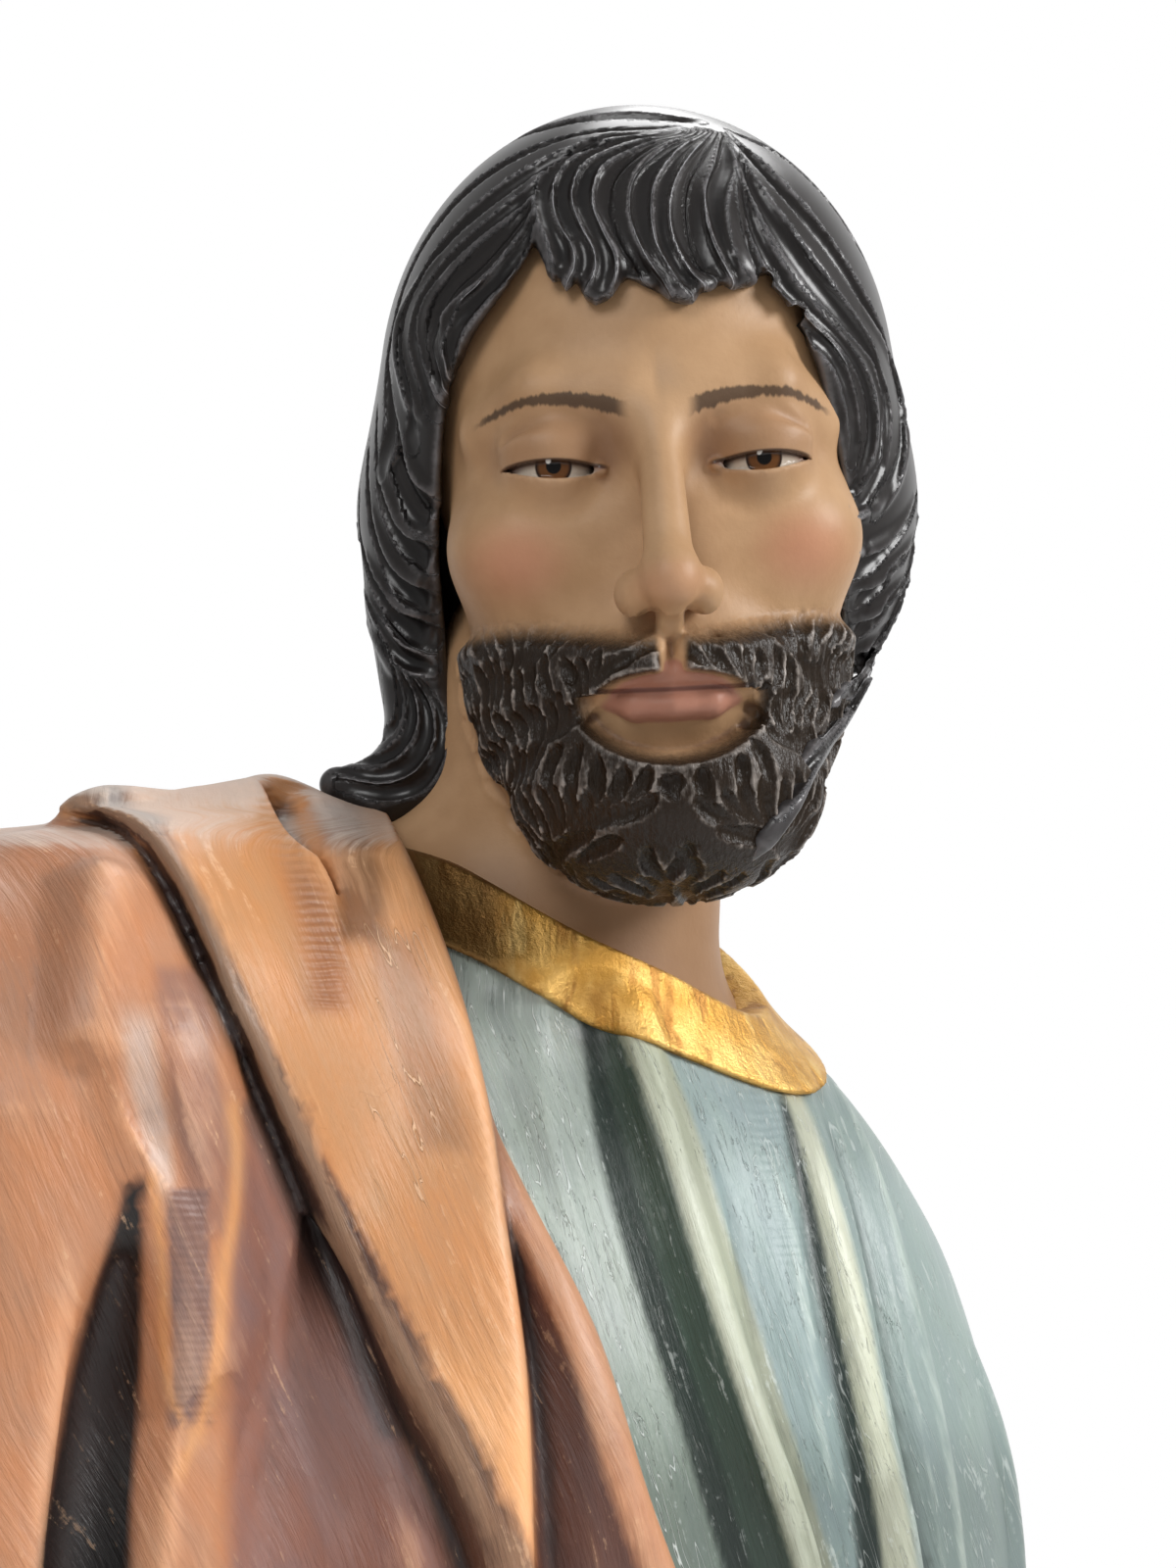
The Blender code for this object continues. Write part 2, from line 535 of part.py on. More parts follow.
def normals(field, points):
    g = np.empty_like(points)
    for axis in range(3):
        d = np.zeros(3)
        d[axis] = 0.5
        a, b = (points + d).astype(F32), (points - d).astype(F32)
        g[:, axis] = field([a[:, 0], a[:, 1], a[:, 2]]) - field([b[:, 0], b[:, 1], b[:, 2]])
    return g / np.maximum(np.linalg.norm(g, axis=1), 1e-6)[:, None]


def gouge(f, p, cuts, soft):
    f = f.copy()
    for points, radius in cuts:
        who, off, along = near_stroke(p, points, radius + 2)
        if len(who):
            f[who] = cut(f[who], off - F32(radius), soft)
    return f


class Bust:
    """The whole solid as one field."""

    def __init__(self):
        self.folds = laid_out(FOLDS, dressed)
        self.drapes = draped(DRAPES, dressed)
        self.head = Head()

    def trunk(self, p):
        b = body(p)
        n = neck(p)
        flesh = join(b + F32(7), n, 26)
        cloth = join(b, n - F32(6), 22) - garments(p, self.folds, self.drapes)
        cloth = cut(cloth, -collar_height(p), 2)
        return join(flesh, cloth, 1.5)

    def __call__(self, p):
        f = np.full(len(p[0]), 60, F32)
        low = np.nonzero(p[2] < 430)[0]
        f[low] = self.trunk([c[low] for c in p])
        high = np.nonzero(p[2] > 290)[0]
        grown = F32(HEAD_HEIGHT / DRAWN_HEAD)
        q = [c / grown for c in to_head([c[high] for c in p])]
        order = np.argsort(q[0])
        value = np.empty(len(high), F32)
        value[order] = self.head([c[order] for c in q]) * grown
        f[high] = join(f[high], value, 2)
        return f


# Surface of the field
def sample(field, low, high, step, block=6):
    """Field values on a grid, worked out only in the blocks that the surface may cross."""
    n = [math.ceil((high[i] - low[i]) / step / block) for i in range(3)]
    axes = [low[i] + step * np.arange(n[i] * block + 1, dtype=F32) for i in range(3)]
    rough_axes = [a[::block] for a in axes]
    g = np.meshgrid(*rough_axes, indexing="ij")
    rough = field([a.ravel() for a in g]).reshape(g[0].shape)
    near = np.abs(rough) < block * step * math.sqrt(3) / 2 * 1.5 + step
    cell = np.zeros(n, bool)
    for corner in np.ndindex(2, 2, 2):
        cell |= near[tuple(slice(c, c + k) for c, k in zip(corner, n))]
    nearest = [np.minimum((np.arange(len(a)) + block // 2) // block, len(r) - 1) for a, r in zip(axes, rough_axes)]
    out = rough[np.ix_(*nearest)].astype(F32)
    want = np.zeros(out.shape, bool)
    want[:-1, :-1, :-1] = np.repeat(np.repeat(np.repeat(cell, block, 0), block, 1), block, 2)
    for axis in range(3):
        ahead, behind = [slice(None)] * 3, [slice(None)] * 3
        ahead[axis], behind[axis] = slice(1, None), slice(None, -1)
        grown = want.copy()
        grown[tuple(ahead)] |= want[tuple(behind)]
        want = grown
    i, j, k = np.nonzero(want)
    values = np.empty(len(i), F32)
    for first in range(0, len(i), 600_000):
        some = slice(first, first + 600_000)
        values[some] = field([axes[0][i[some]], axes[1][j[some]], axes[2][k[some]]])
    out[i, j, k] = values
    return out, axes


def unpinched(values, filler=-0.2):
    """The grid with wood added wherever the surface would touch itself along an edge or at a point."""
    for _ in range(30):
        inside = values < 0
        flips = 0
        for u, v in ((0, 1), (0, 2), (1, 2)):
            def part(du, dv):
                cut_out = [slice(None)] * 3
                cut_out[u] = slice(du, inside.shape[u] - 1 + du)
                cut_out[v] = slice(dv, inside.shape[v] - 1 + dv)
                return tuple(cut_out)
            a, b, c, d = inside[part(0, 0)], inside[part(1, 0)], inside[part(0, 1)], inside[part(1, 1)]
            for bad, place in ((a & d & ~b & ~c, part(1, 0)), (b & c & ~a & ~d, part(0, 0))):
                if bad.any():
                    values[place][bad] = filler
                    flips += int(bad.sum())
            inside = values < 0
        shape = [k - 1 for k in inside.shape]

        def corner(c):
            return tuple(slice(i, i + k) for i, k in zip(c, shape))
        count = sum(inside[corner(c)].astype(np.int8) for c in np.ndindex(2, 2, 2))
        for c in ((0, 0, 0), (0, 0, 1), (0, 1, 0), (0, 1, 1)):
            far = tuple(1 - i for i in c)
            near_in, far_in = inside[corner(c)], inside[corner(far)]
            other = (1 - c[0], c[1], c[2])
            for bad, place in ((near_in & far_in & (count == 2), corner(other)), (~near_in & ~far_in & (count == 6), corner(c))):
                if bad.any():
                    values[place][bad] = filler
                    flips += int(bad.sum())
        if not flips:
            break
    return values


def nets(values, axes):
    """One point in each grid cell that the surface crosses, and one quad round each grid edge that it cuts."""
    inside = values < 0
    shape = [d - 1 for d in inside.shape]
    count = np.zeros(shape, np.int8)
    for corner in np.ndindex(2, 2, 2):
        count += inside[tuple(slice(c, c + k) for c, k in zip(corner, shape))].astype(np.int8)
    at = np.array(np.nonzero((count > 0) & (count < 8)))
    index = np.full(shape, -1, np.int64)
    index[tuple(at)] = np.arange(at.shape[1])
    total, hits = np.zeros((3, at.shape[1])), np.zeros(at.shape[1])
    for corner in np.ndindex(2, 2, 2):
        for axis in range(3):
            if corner[axis]:
                continue
            other = [c + (i == axis) for i, c in enumerate(corner)]
            a = values[tuple(at[i] + corner[i] for i in range(3))].astype(float)
            b = values[tuple(at[i] + other[i] for i in range(3))].astype(float)
            crossed = (a < 0) != (b < 0)
            t = np.where(crossed, a / np.where(crossed, a - b, 1), 0)
            for i in range(3):
                total[i] += crossed * (t if i == axis else corner[i])
            hits += crossed
    points = np.stack([axes[i][0] + (at[i] + total[i] / hits) * (axes[i][1] - axes[i][0]) for i in range(3)], 1)
    quads = []
    for axis in range(3):
        u, v = [i for i in range(3) if i != axis]
        first, second = [slice(1, -1)] * 3, [slice(1, -1)] * 3
        first[axis], second[axis] = slice(None, -1), slice(1, None)
        a, b = inside[tuple(first)], inside[tuple(second)]
        for inward in (True, False):
            edge = list(np.nonzero((a != b) & (a == inward)))
            edge[u], edge[v] = edge[u] + 1, edge[v] + 1
            ring = []
            for du, dv in ((0, 0), (1, 0), (1, 1), (0, 1)):
                q = list(edge)
                q[u], q[v] = q[u] - du, q[v] - dv
                ring.append(index[tuple(q)])
            quads.append(np.stack(ring if (axis == 1) != inward else ring[::-1], 1))
    return points, np.concatenate(quads)


def worked_out(field, points):
    """Field at points, taken in order of x so that each stroke meets a short run of them."""
    order = np.argsort(points[:, 0], kind="stable")
    q = points[order].astype(F32)
    values = np.empty(len(points))
    values[order] = field([q[:, 0], q[:, 1], q[:, 2]])
    return values


def settle(field, points, rounds=2, nudge=0.4, most=1.2):
    """Moves points along the field's slope until they lie on its surface."""
    points = points.copy()
    for _ in range(rounds):
        f = worked_out(field, points)
        slope = np.empty_like(points)
        for axis in range(3):
            q = points.copy()
            q[:, axis] += nudge
            slope[:, axis] = (worked_out(field, q) - f) / nudge
        move = -(f / np.maximum((slope ** 2).sum(1), 0.2))[:, None] * slope
        move *= np.minimum(1, most / np.maximum(np.linalg.norm(move, axis=1), 1e-9))[:, None]
        points += move
    return points


def triangles_of(points, quads):
    """Each quad as two triangles across its shorter diagonal, unless another quad has that diagonal too."""
    def length(a, b):
        return np.linalg.norm(points[quads[:, a]] - points[quads[:, b]], axis=1)

    def key(a, b):
        return np.minimum(quads[:, a], quads[:, b]) * len(points) + np.maximum(quads[:, a], quads[:, b])
    sides = np.concatenate([key(0, 1), key(1, 2), key(2, 3), key(3, 0)])
    first = length(0, 2) <= length(1, 3)
    for _ in range(4):
        chosen = np.where(first, key(0, 2), key(1, 3))
        values, index, counts = np.unique(chosen, return_inverse=True, return_counts=True)
        clash = (counts[index] > 1) | np.isin(chosen, sides)
        if not clash.any():
            break
        first = first ^ clash
    a, b, c, d = quads.T
    one = np.where(first[:, None], np.stack([a, b, c], 1), np.stack([a, b, d], 1))
    two = np.where(first[:, None], np.stack([a, c, d], 1), np.stack([b, c, d], 1))
    return np.concatenate([one, two])


def add_mesh(name, points, faces):
    mesh = bpy.data.meshes.new(name)
    mesh.from_pydata([tuple(p) for p in points / 1000.0], [], [tuple(f) for f in faces])
    mesh.update()
    piece = bpy.data.objects.new(name, mesh)
    bpy.context.scene.collection.objects.link(piece)
    return piece


def drop_crumbs(work):
    """Keeps only the largest connected piece."""
    left, largest = set(work.verts), []
    while left:
        group, queue = [], [left.pop()]
        while queue:
            v = queue.pop()
            group.append(v)
            for e in v.link_edges:
                o = e.other_vert(v)
                if o in left:
                    left.discard(o)
                    queue.append(o)
        if len(group) > len(largest):
            largest, group = group, largest
        bmesh.ops.delete(work, geom=group, context="VERTS")
        left = {v for v in left if v.is_valid}


def thinned(piece, triangles):
    """The piece with fewer triangles, most of them kept where the form turns sharply."""
    count = len(piece.data.polygons)
    thin = piece.modifiers.new("thin", "DECIMATE")
    for attempt in range(8):
        thin.ratio = (triangles - 35 * attempt) / count
        bpy.context.view_layer.update()
        mesh = bpy.data.meshes.new_from_object(piece.evaluated_get(bpy.context.evaluated_depsgraph_get()))
        work = bmesh.new()
        work.from_mesh(mesh)
        doubled = any(len(e.link_faces) > 2 for e in work.edges)
        work.free()
        if not doubled:
            break
    piece.modifiers.clear()
    piece.data = mesh


def saw_flat(piece):
    """Saws the foot off level at Z = 0 and closes it with a flat face."""
    work = bmesh.new()
    work.from_mesh(piece.data)
    bmesh.ops.triangulate(work, faces=work.faces)
    drop_crumbs(work)
    bmesh.ops.bisect_plane(work, geom=work.verts[:] + work.edges[:] + work.faces[:], dist=1e-5, plane_co=(0, 0, 0),
                           plane_no=(0, 0, 1), clear_inner=True)
    rim = [e for e in work.edges if len(e.link_faces) == 1]
    bmesh.ops.contextual_create(work, geom=rim)
    bmesh.ops.triangulate(work, faces=[f for f in work.faces if len(f.verts) > 3])
    bmesh.ops.recalc_face_normals(work, faces=work.faces)
    work.to_mesh(piece.data)
    work.free()


def centred(piece):
    """Puts the middle of the bounding box over the origin."""
    co = np.array([v.co for v in piece.data.vertices])
    middle = (co.min(0) + co.max(0)) / 2
    piece.data.transform(Matrix.Translation((-middle[0], -middle[1], 0)))
    return middle


def finish(piece):
    wood = bpy.data.materials.new("painted_wood")
    wood.use_nodes = True
    paint = wood.node_tree.nodes["Principled BSDF"]
    paint.inputs["Base Color"].default_value = (0.32, 0.19, 0.11, 1)
    paint.inputs["Roughness"].default_value = 0.45
    piece.data.materials.clear()
    piece.data.materials.append(wood)


def main():
    for old in list(bpy.data.objects):
        bpy.data.objects.remove(old, do_unlink=True)
    low, high = (-300, -165, -4 * GRID_STEP), (260, 190, 375 + HEAD_HEIGHT * 1.15)
    form = Bust()
    values, axes = sample(form, low, high, GRID_STEP)
    points, quads = nets(unpinched(values), axes)
    points = settle(form, points) * (BUST_HEIGHT / DRAWN_BUST)
    piece = add_mesh("bust", points, triangles_of(points, quads))
    thinned(piece, TRIANGLES)
    saw_flat(piece)
    centred(piece)
    finish(piece)


main()
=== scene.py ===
"""Looks of the carved bust: its finer carving, oil paint and leaf gilding, with the camera and the light.

The bust is one carved block of wood. Here it is six meshes that meet inside the wood: the hair's front and back,
face, collar, tunic and mantle. Two are left open where others cover them: the face below the hair's crown and inside
the tunic, the collar under the mantle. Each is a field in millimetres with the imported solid's masses, folds and
locks, and finer ones between them. The bust faces -Y and +Z is up. The head is modelled upright in its own frame,
eye line at the origin and face towards -Y, then turned and bowed.
"""

import math
from concurrent.futures import ThreadPoolExecutor

import bpy
import numpy as np
from mathutils import Euler, Matrix, Vector


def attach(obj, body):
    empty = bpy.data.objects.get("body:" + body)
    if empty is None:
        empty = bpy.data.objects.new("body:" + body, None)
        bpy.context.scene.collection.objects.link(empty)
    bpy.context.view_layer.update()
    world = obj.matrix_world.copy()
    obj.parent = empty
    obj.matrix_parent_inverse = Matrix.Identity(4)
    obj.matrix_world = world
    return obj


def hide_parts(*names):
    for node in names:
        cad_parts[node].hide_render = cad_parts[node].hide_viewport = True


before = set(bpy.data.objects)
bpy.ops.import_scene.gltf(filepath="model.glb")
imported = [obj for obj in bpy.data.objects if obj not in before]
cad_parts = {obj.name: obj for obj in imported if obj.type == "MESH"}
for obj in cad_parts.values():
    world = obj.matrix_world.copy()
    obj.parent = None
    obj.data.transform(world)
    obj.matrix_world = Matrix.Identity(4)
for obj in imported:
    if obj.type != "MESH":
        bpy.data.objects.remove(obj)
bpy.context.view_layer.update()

# The carving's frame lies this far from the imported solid's, whose box is centred, in mm
CENTRE = (38.707, -7.884, 0.0)
CLOTH_THICKNESS = 9.0  # how far the mantle stands off the tunic
COLLAR_WIDTH = 24.0  # of the gilt border round the neck
COLLAR_TOP = 295.0  # height of its upper edge where that is lowest
STUDIO_GREY = 0.33  # brightness of the studio away from the backcloth
FLOOR_RADIUS = 0.62  # in metres

# Pose of the head, in degrees: turned to its own right, bowed, and leaning
HEAD_TURN, HEAD_BOW, HEAD_LEAN = -37.0, 12.0, -3.0
HEAD_PLACE = (-8.0, -25.0, 470.0)  # of the middle of the eye line
HEAD_AXES = np.array(Euler([math.radians(a) for a in (HEAD_BOW, HEAD_LEAN, HEAD_TURN)]).to_matrix())

# Each mesh's step between the field's samples in mm, and its most triangles
FINENESS = {"hair_front": (1.1, 195_000), "hair_back": (1.8, 90_000), "face": (1.05, 195_000),
            "collar": (1.5, 60_000), "tunic": (1.8, 180_000), "mantle": (1.8, 195_000)}

F32 = np.float32


# Fields: each takes coordinates (x, y, z) and gives the distance to a surface, negative inside
def join(a, b, soft):
    """Union of two solids, blended over a width."""
    h = np.clip(0.5 + 0.5 * (b - a) / soft, 0, 1)
    return b + (a - b) * h - soft * h * (1 - h)


def cut(a, b, soft):
    """The first solid with the second taken away, blended over a width."""
    return -join(-a, b, soft)


def ellipsoid(p, centre, radii):
    q = [(p[i] - F32(centre[i])) / F32(radii[i]) for i in range(3)]
    k = np.sqrt(q[0] ** 2 + q[1] ** 2 + q[2] ** 2) + F32(1e-6)
    g = np.sqrt(sum((q[i] / F32(radii[i])) ** 2 for i in range(3))) + F32(1e-6)
    return k * (k - 1) / g


def ball(p, centre, radius):
    return np.sqrt(sum((p[i] - F32(centre[i])) ** 2 for i in range(3))) - F32(radius)


def limb(p, start, end, r_start, r_end):
    """Round bar between two points, with a radius at each."""
    along = [end[i] - start[i] for i in range(3)]
    length2 = sum(a * a for a in along)
    t = np.clip(sum((p[i] - F32(start[i])) * F32(along[i] / length2) for i in range(3)), 0, 1)
    d = np.sqrt(sum((p[i] - F32(start[i]) - t * F32(along[i])) ** 2 for i in range(3)))
    return d - (F32(r_start) + F32(r_end - r_start) * t)


def ease(t):
    t = np.clip(t, 0, 1)
    return t * t * (3 - 2 * t)


def mirrored(p):
    return (np.abs(p[0]), p[1], p[2])


# Head, in its own frame
def skull(p):
    """Large masses of the head: cranium, face, jaw, chin, cheekbones and brow."""
    m = mirrored(p)
    f = ellipsoid(p, (0, 6, 30), (75, 96, 86))
    f = join(f, ellipsoid(p, (0, -30, -38), (60, 60, 80)), 24)
    f = join(f, ellipsoid(p, (0, -38, -78), (49, 48, 40)), 18)
    f = join(f, ball(p, (0, -76, -99), 17), 16)
    f = join(f, ellipsoid(m, (42, -58, -24), (21, 24, 18)), 20)
    brow = join(limb(m, (10, -84, 15), (36, -79.5, 19), 6, 6.5), limb(m, (36, -80.5, 19), (53, -62, 12), 6.5, 3), 5)
    f = join(f, brow, 16)
    f = cut(f, ellipsoid(m, (30, -98, -3), (18, 15, 12)), 10)
    f = join(f, ellipsoid(p, (0, -72, -68), (30, 31, 24)), 14)
    return f


def nose(f, p):
    m = mirrored(p)
    f = join(f, limb(p, (0, -90, 8), (0, -110, -36), 5.8, 7.2), 9)
    f = join(f, ball(p, (0, -113.5, -41), 8.6), 6)
    f = join(f, limb(p, (0, -111, -48), (0, -101, -53), 3.8, 4.2), 3.5)
    f = join(f, ellipsoid(m, (10, -103.5, -43.5), (6, 9.5, 7)), 4.5)
    f = cut(f, limb(m, (5.8, -112, -51), (7.6, -103, -51), 2.7, 2.2), 1.5)
    f = cut(f, limb(m, (17.6, -104, -37), (18.4, -99, -48), 1.0, 1.4), 2.5)
    return f


EYE = (31.0, -76.5, -2.0)  # centre of the globe, on the saint's left and mirrored
EYE_HALF = 15.5  # half the opening's width
LID_UPPER, LID_LOWER = -2.0, -7.0  # heights of the lids' edges at the middle of the opening
LID_ENDS, LID_SLANT = 3.4, 0.7  # how far the opening's corners lie below the eye line, and how the outer is raised


def eye_opening(q):
    """Below zero between the lids, as seen from the front."""
    u = (q[0] - F32(EYE[0])) / F32(EYE_HALF)
    arch = 1 - u ** 2
    tilt = F32(LID_SLANT) * u
    upper = F32(LID_UPPER + LID_ENDS) * arch - F32(LID_ENDS) + tilt
    lower = F32(LID_LOWER + LID_ENDS) * arch - F32(LID_ENDS) + tilt
    v = q[2]
    return np.maximum(v - upper, lower - v)


def eyes(f, p):
    q = mirrored(p)
    globe = ball(q, EYE, 13.2)
    lid = ball(q, EYE, 15.4)
    lid = join(lid, ellipsoid(q, (31, -79, 4), (16, 12.5, 8)), 4)
    f = join(f, lid, 6)
    # crease over the upper lid, and the soft one under the lower
    f = cut(f, limb(q, (18, -92, 8.5), (31, -94.5, 12.2), 1.3, 1.6), 3)
    f = cut(f, limb(q, (31, -94.5, 12.2), (46, -83, 6.5), 1.6, 1.2), 3)
    f = cut(f, limb(q, (20, -91, -14), (36, -90, -17.5), 0.8, 0.8), 4)
    slot = np.maximum(eye_opening(q), q[1] + F32(70))
    f = cut(f, slot, 0.8)
    f = join(f, ball(q, (17.2, -86.5, -4.6), 2.0), 1.5)
    return join(f, globe, 0.6)


LIPS = (
    # upper lip and lower lip: points from the middle to the corner, with the radius at each
    (((0, -102.4, -67.4), 3.5), ((5, -102.6, -66.8), 3.7), ((13, -99.8, -68.6), 3.3), ((24.5, -91.5, -71.6), 1.0)),
    (((0, -101.6, -76.4), 4.4), ((11, -99.4, -75.8), 3.7), ((23.5, -91.5, -72.6), 0.9)),
)


def lips(p):
    m = mirrored(p)
    f = None
    for lip in LIPS:
        for (a, ra), (b, rb) in zip(lip, lip[1:]):
            bar = limb(m, a, b, ra, rb)
            f = bar if f is None else join(f, bar, 3.0)
    return f


def mouth(f, p):
    m = mirrored(p)
    f = join(f, lips(p), 2.2)
    f = cut(f, limb(m, (0, -106, -71.8), (12, -103.6, -71.3), 1.2, 1.1), 1.2)
    f = cut(f, limb(m, (12, -103.6, -71.3), (26, -92.5, -72.2), 1.1, 0.7), 1.2)
    f = cut(f, limb(p, (0, -110.5, -54), (0, -110, -62.5), 2.2, 2.8), 3.5)
    f = cut(f, ellipsoid(p, (0, -107, -89.5), (17, 9, 5.5)), 8)
    return f


def hair_mass(p):
    """Outer form of the hair, as if it were one smooth cap."""
    f = ellipsoid(p, (0, 10, 34), (88, 106, 96))
    f = join(f, ellipsoid(p, (-1, 22, -6), (98, 82, 66)), 22)
    f = join(f, ellipsoid(p, (-4, 54, -58), (64, 54, 68)), 26)
    # right of the face it drops to the shoulder and flips outward
    f = join(f, limb(p, (-72, 14, -36), (-68, 6, -84), 24, 22), 14)
    f = join(f, limb(p, (-68, 4, -90), (-94, -2, -98), 22, 12), 12)
    f = join(f, limb(p, (-94, -2, -98), (-108, -4, -94), 12, 6), 6)
    # left of the face it tucks in behind the jaw and the neck
    f = join(f, limb(p, (60, 22, -34), (20, 50, -126), 26, 13), 16)
    return f


def beard_amount(p, spread=1.0):
    """How full the beard is, from 0 on bare skin to 1. A wider spread fades over a longer way."""
    line = F32(-47) - F32(6.5) * ease(1 - np.abs(p[0]) / F32(48))
    a = ease((line - p[2]) / F32(9 * spread) + F32(0.3 * (spread - 1)))
    low = p[2] < -72
    wide, tall = np.where(low, F32(24), F32(19)), np.where(low, F32(17), F32(5))
    around = np.sqrt((p[0] / wide) ** 2 + ((p[2] + F32(72)) / tall) ** 2)
    a = a * ease((around - F32(1.15 - 0.2 * spread)) / F32(0.35 * spread))
    philtrum = ease((F32(5.5) - np.abs(p[0])) / F32(3.5)) * ease((p[2] + F32(72)) / F32(6))
    throat = ease((F32(25) - p[1]) / F32(20))
    return a * (1 - philtrum) * throat


def face(p):
    """Face with the beard's mass on it, before the beard is cut."""
    s = skull(p)
    f = eyes(mouth(nose(s, p), p), p)
    m = mirrored(p)
    full = ellipsoid(p, (0, -62, -100), (43, 42, 31))
    lip_hair = limb(m, (5, -104.5, -60), (17, -101, -63.5), 3, 4.2)
    lip_hair = join(lip_hair, limb(m, (17, -101, -63.5), (30, -88, -78), 4.2, 2.5), 3)
    a = beard_amount(p)
    f = join(f, full + F32(14) * (1 - a), 9)
    return join(f - F32(6) * a, lip_hair, 5)


# Strokes: grooves and ridges that follow curves laid on a form
def curve(controls, count):
    """Points along a smooth curve through control points of any dimension."""
    c = np.array(controls, float)
    at = np.concatenate([[0], np.cumsum(np.linalg.norm(np.diff(c, axis=0), axis=1) ** 0.5 + 1e-6)])
    slope = np.gradient(c, at, axis=0)
    want = np.linspace(0, at[-1], count)
    i = np.clip(np.searchsorted(at, want, "right") - 1, 0, len(c) - 2)
    gap = (at[i + 1] - at[i])[:, None]
    t = (want - at[i])[:, None] / gap
    return ((2 * t ** 3 - 3 * t ** 2 + 1) * c[i] + (t ** 3 - 2 * t ** 2 + t) * gap * slope[i]
            + (3 * t ** 2 - 2 * t ** 3) * c[i + 1] + (t ** 3 - t ** 2) * gap * slope[i + 1])


def land(field, starts, directions, first, last, steps=70):
    """Where rays from outside first meet a form, or come nearest to it."""
    t = np.linspace(first, last, steps)
    p = starts[:, None, :] + directions[:, None, :] * t[None, :, None]
    flat = p.reshape(-1, 3).astype(F32)
    f = field([flat[:, 0], flat[:, 1], flat[:, 2]]).reshape(len(starts), steps)
    hit = np.where((f < 0).any(1), (f < 0).argmax(1), f.argmin(1))
    row = np.arange(len(starts))
    before = np.maximum(hit - 1, 0)
    a, b = f[row, before], f[row, hit]
    mix = np.where((a > 0) & (b < 0), a / np.where(a - b == 0, 1, a - b), 1)
    at = t[before] + (t[hit] - t[before]) * mix
    return starts + directions * at[:, None]


def near_stroke(p, points, reach):
    """Which of the points, sorted by x, lie near a stroke, how far off, and how far along it from 0 to 1."""
    low, high = points.min(0) - reach, points.max(0) + reach
    a, b = np.searchsorted(p[0], [low[0], high[0]])
    y, z = p[1][a:b], p[2][a:b]
    who = np.nonzero((y > low[1]) & (y < high[1]) & (z > low[2]) & (z < high[2]))[0] + a
    q = [p[i][who] for i in range(3)]
    best = np.full(len(who), 1e9, F32)
    where = np.zeros(len(who), F32)
    for n in range(len(points) - 1):
        u, v = points[n].astype(F32), (points[n + 1] - points[n]).astype(F32)
        t = np.clip(sum((q[i] - u[i]) * v[i] for i in range(3)) / max(float(v @ v), 1e-6), 0, 1)
        d = sum((q[i] - u[i] - t * v[i]) ** 2 for i in range(3))
        closer = d < best
        best[closer] = d[closer]
        where[closer] = (n + t[closer]) / (len(points) - 1)
    return who, np.sqrt(best), where


# Body, in the bust's frame. The folds are laid out as the bust is seen from a point before its right
# shoulder: a place on it is (across, up) in thousandths of the distance along the line of sight.
LOOKOUT = (-413.3, -513.9, 234.0)
LOOK_YAW, LOOK_PITCH = math.radians(38), math.radians(12)
SIGHT = (math.sin(LOOK_YAW) * math.cos(LOOK_PITCH), math.cos(LOOK_YAW) * math.cos(LOOK_PITCH), math.sin(LOOK_PITCH))
ACROSS = (math.cos(LOOK_YAW), -math.sin(LOOK_YAW), 0.0)
UPWARD = tuple(np.cross(ACROSS, SIGHT))
BODY_SPAN, HEAD_SPAN = (300, 900), (450, 800)  # how near and how far from it the body and the head lie
NECK_FOOT, NECK_TOP = (-6.0, 36.0, 262.0), (-8.0, 8.0, 410.0)

# Edges of the mantle in that view, from the shoulder down: the shawl fold's two sides, and the under layer's
SHAWL_LEFT = ((-262, -12), (-232, -24), (-212, -50), (-180, -120), (-150, -190), (-110, -285), (-60, -400), (-40, -560))
SHAWL_RIGHT = ((-105, -10), (-85, -50), (-65, -105), (-50, -165), (-42, -220), (-31, -300), (-27, -400), (-24, -560))
UNDER_RIGHT = ((-105, -10), (-90, -55), (-50, -168), (-30, -210), (5, -280), (32, -365), (62, -450), (88, -560))

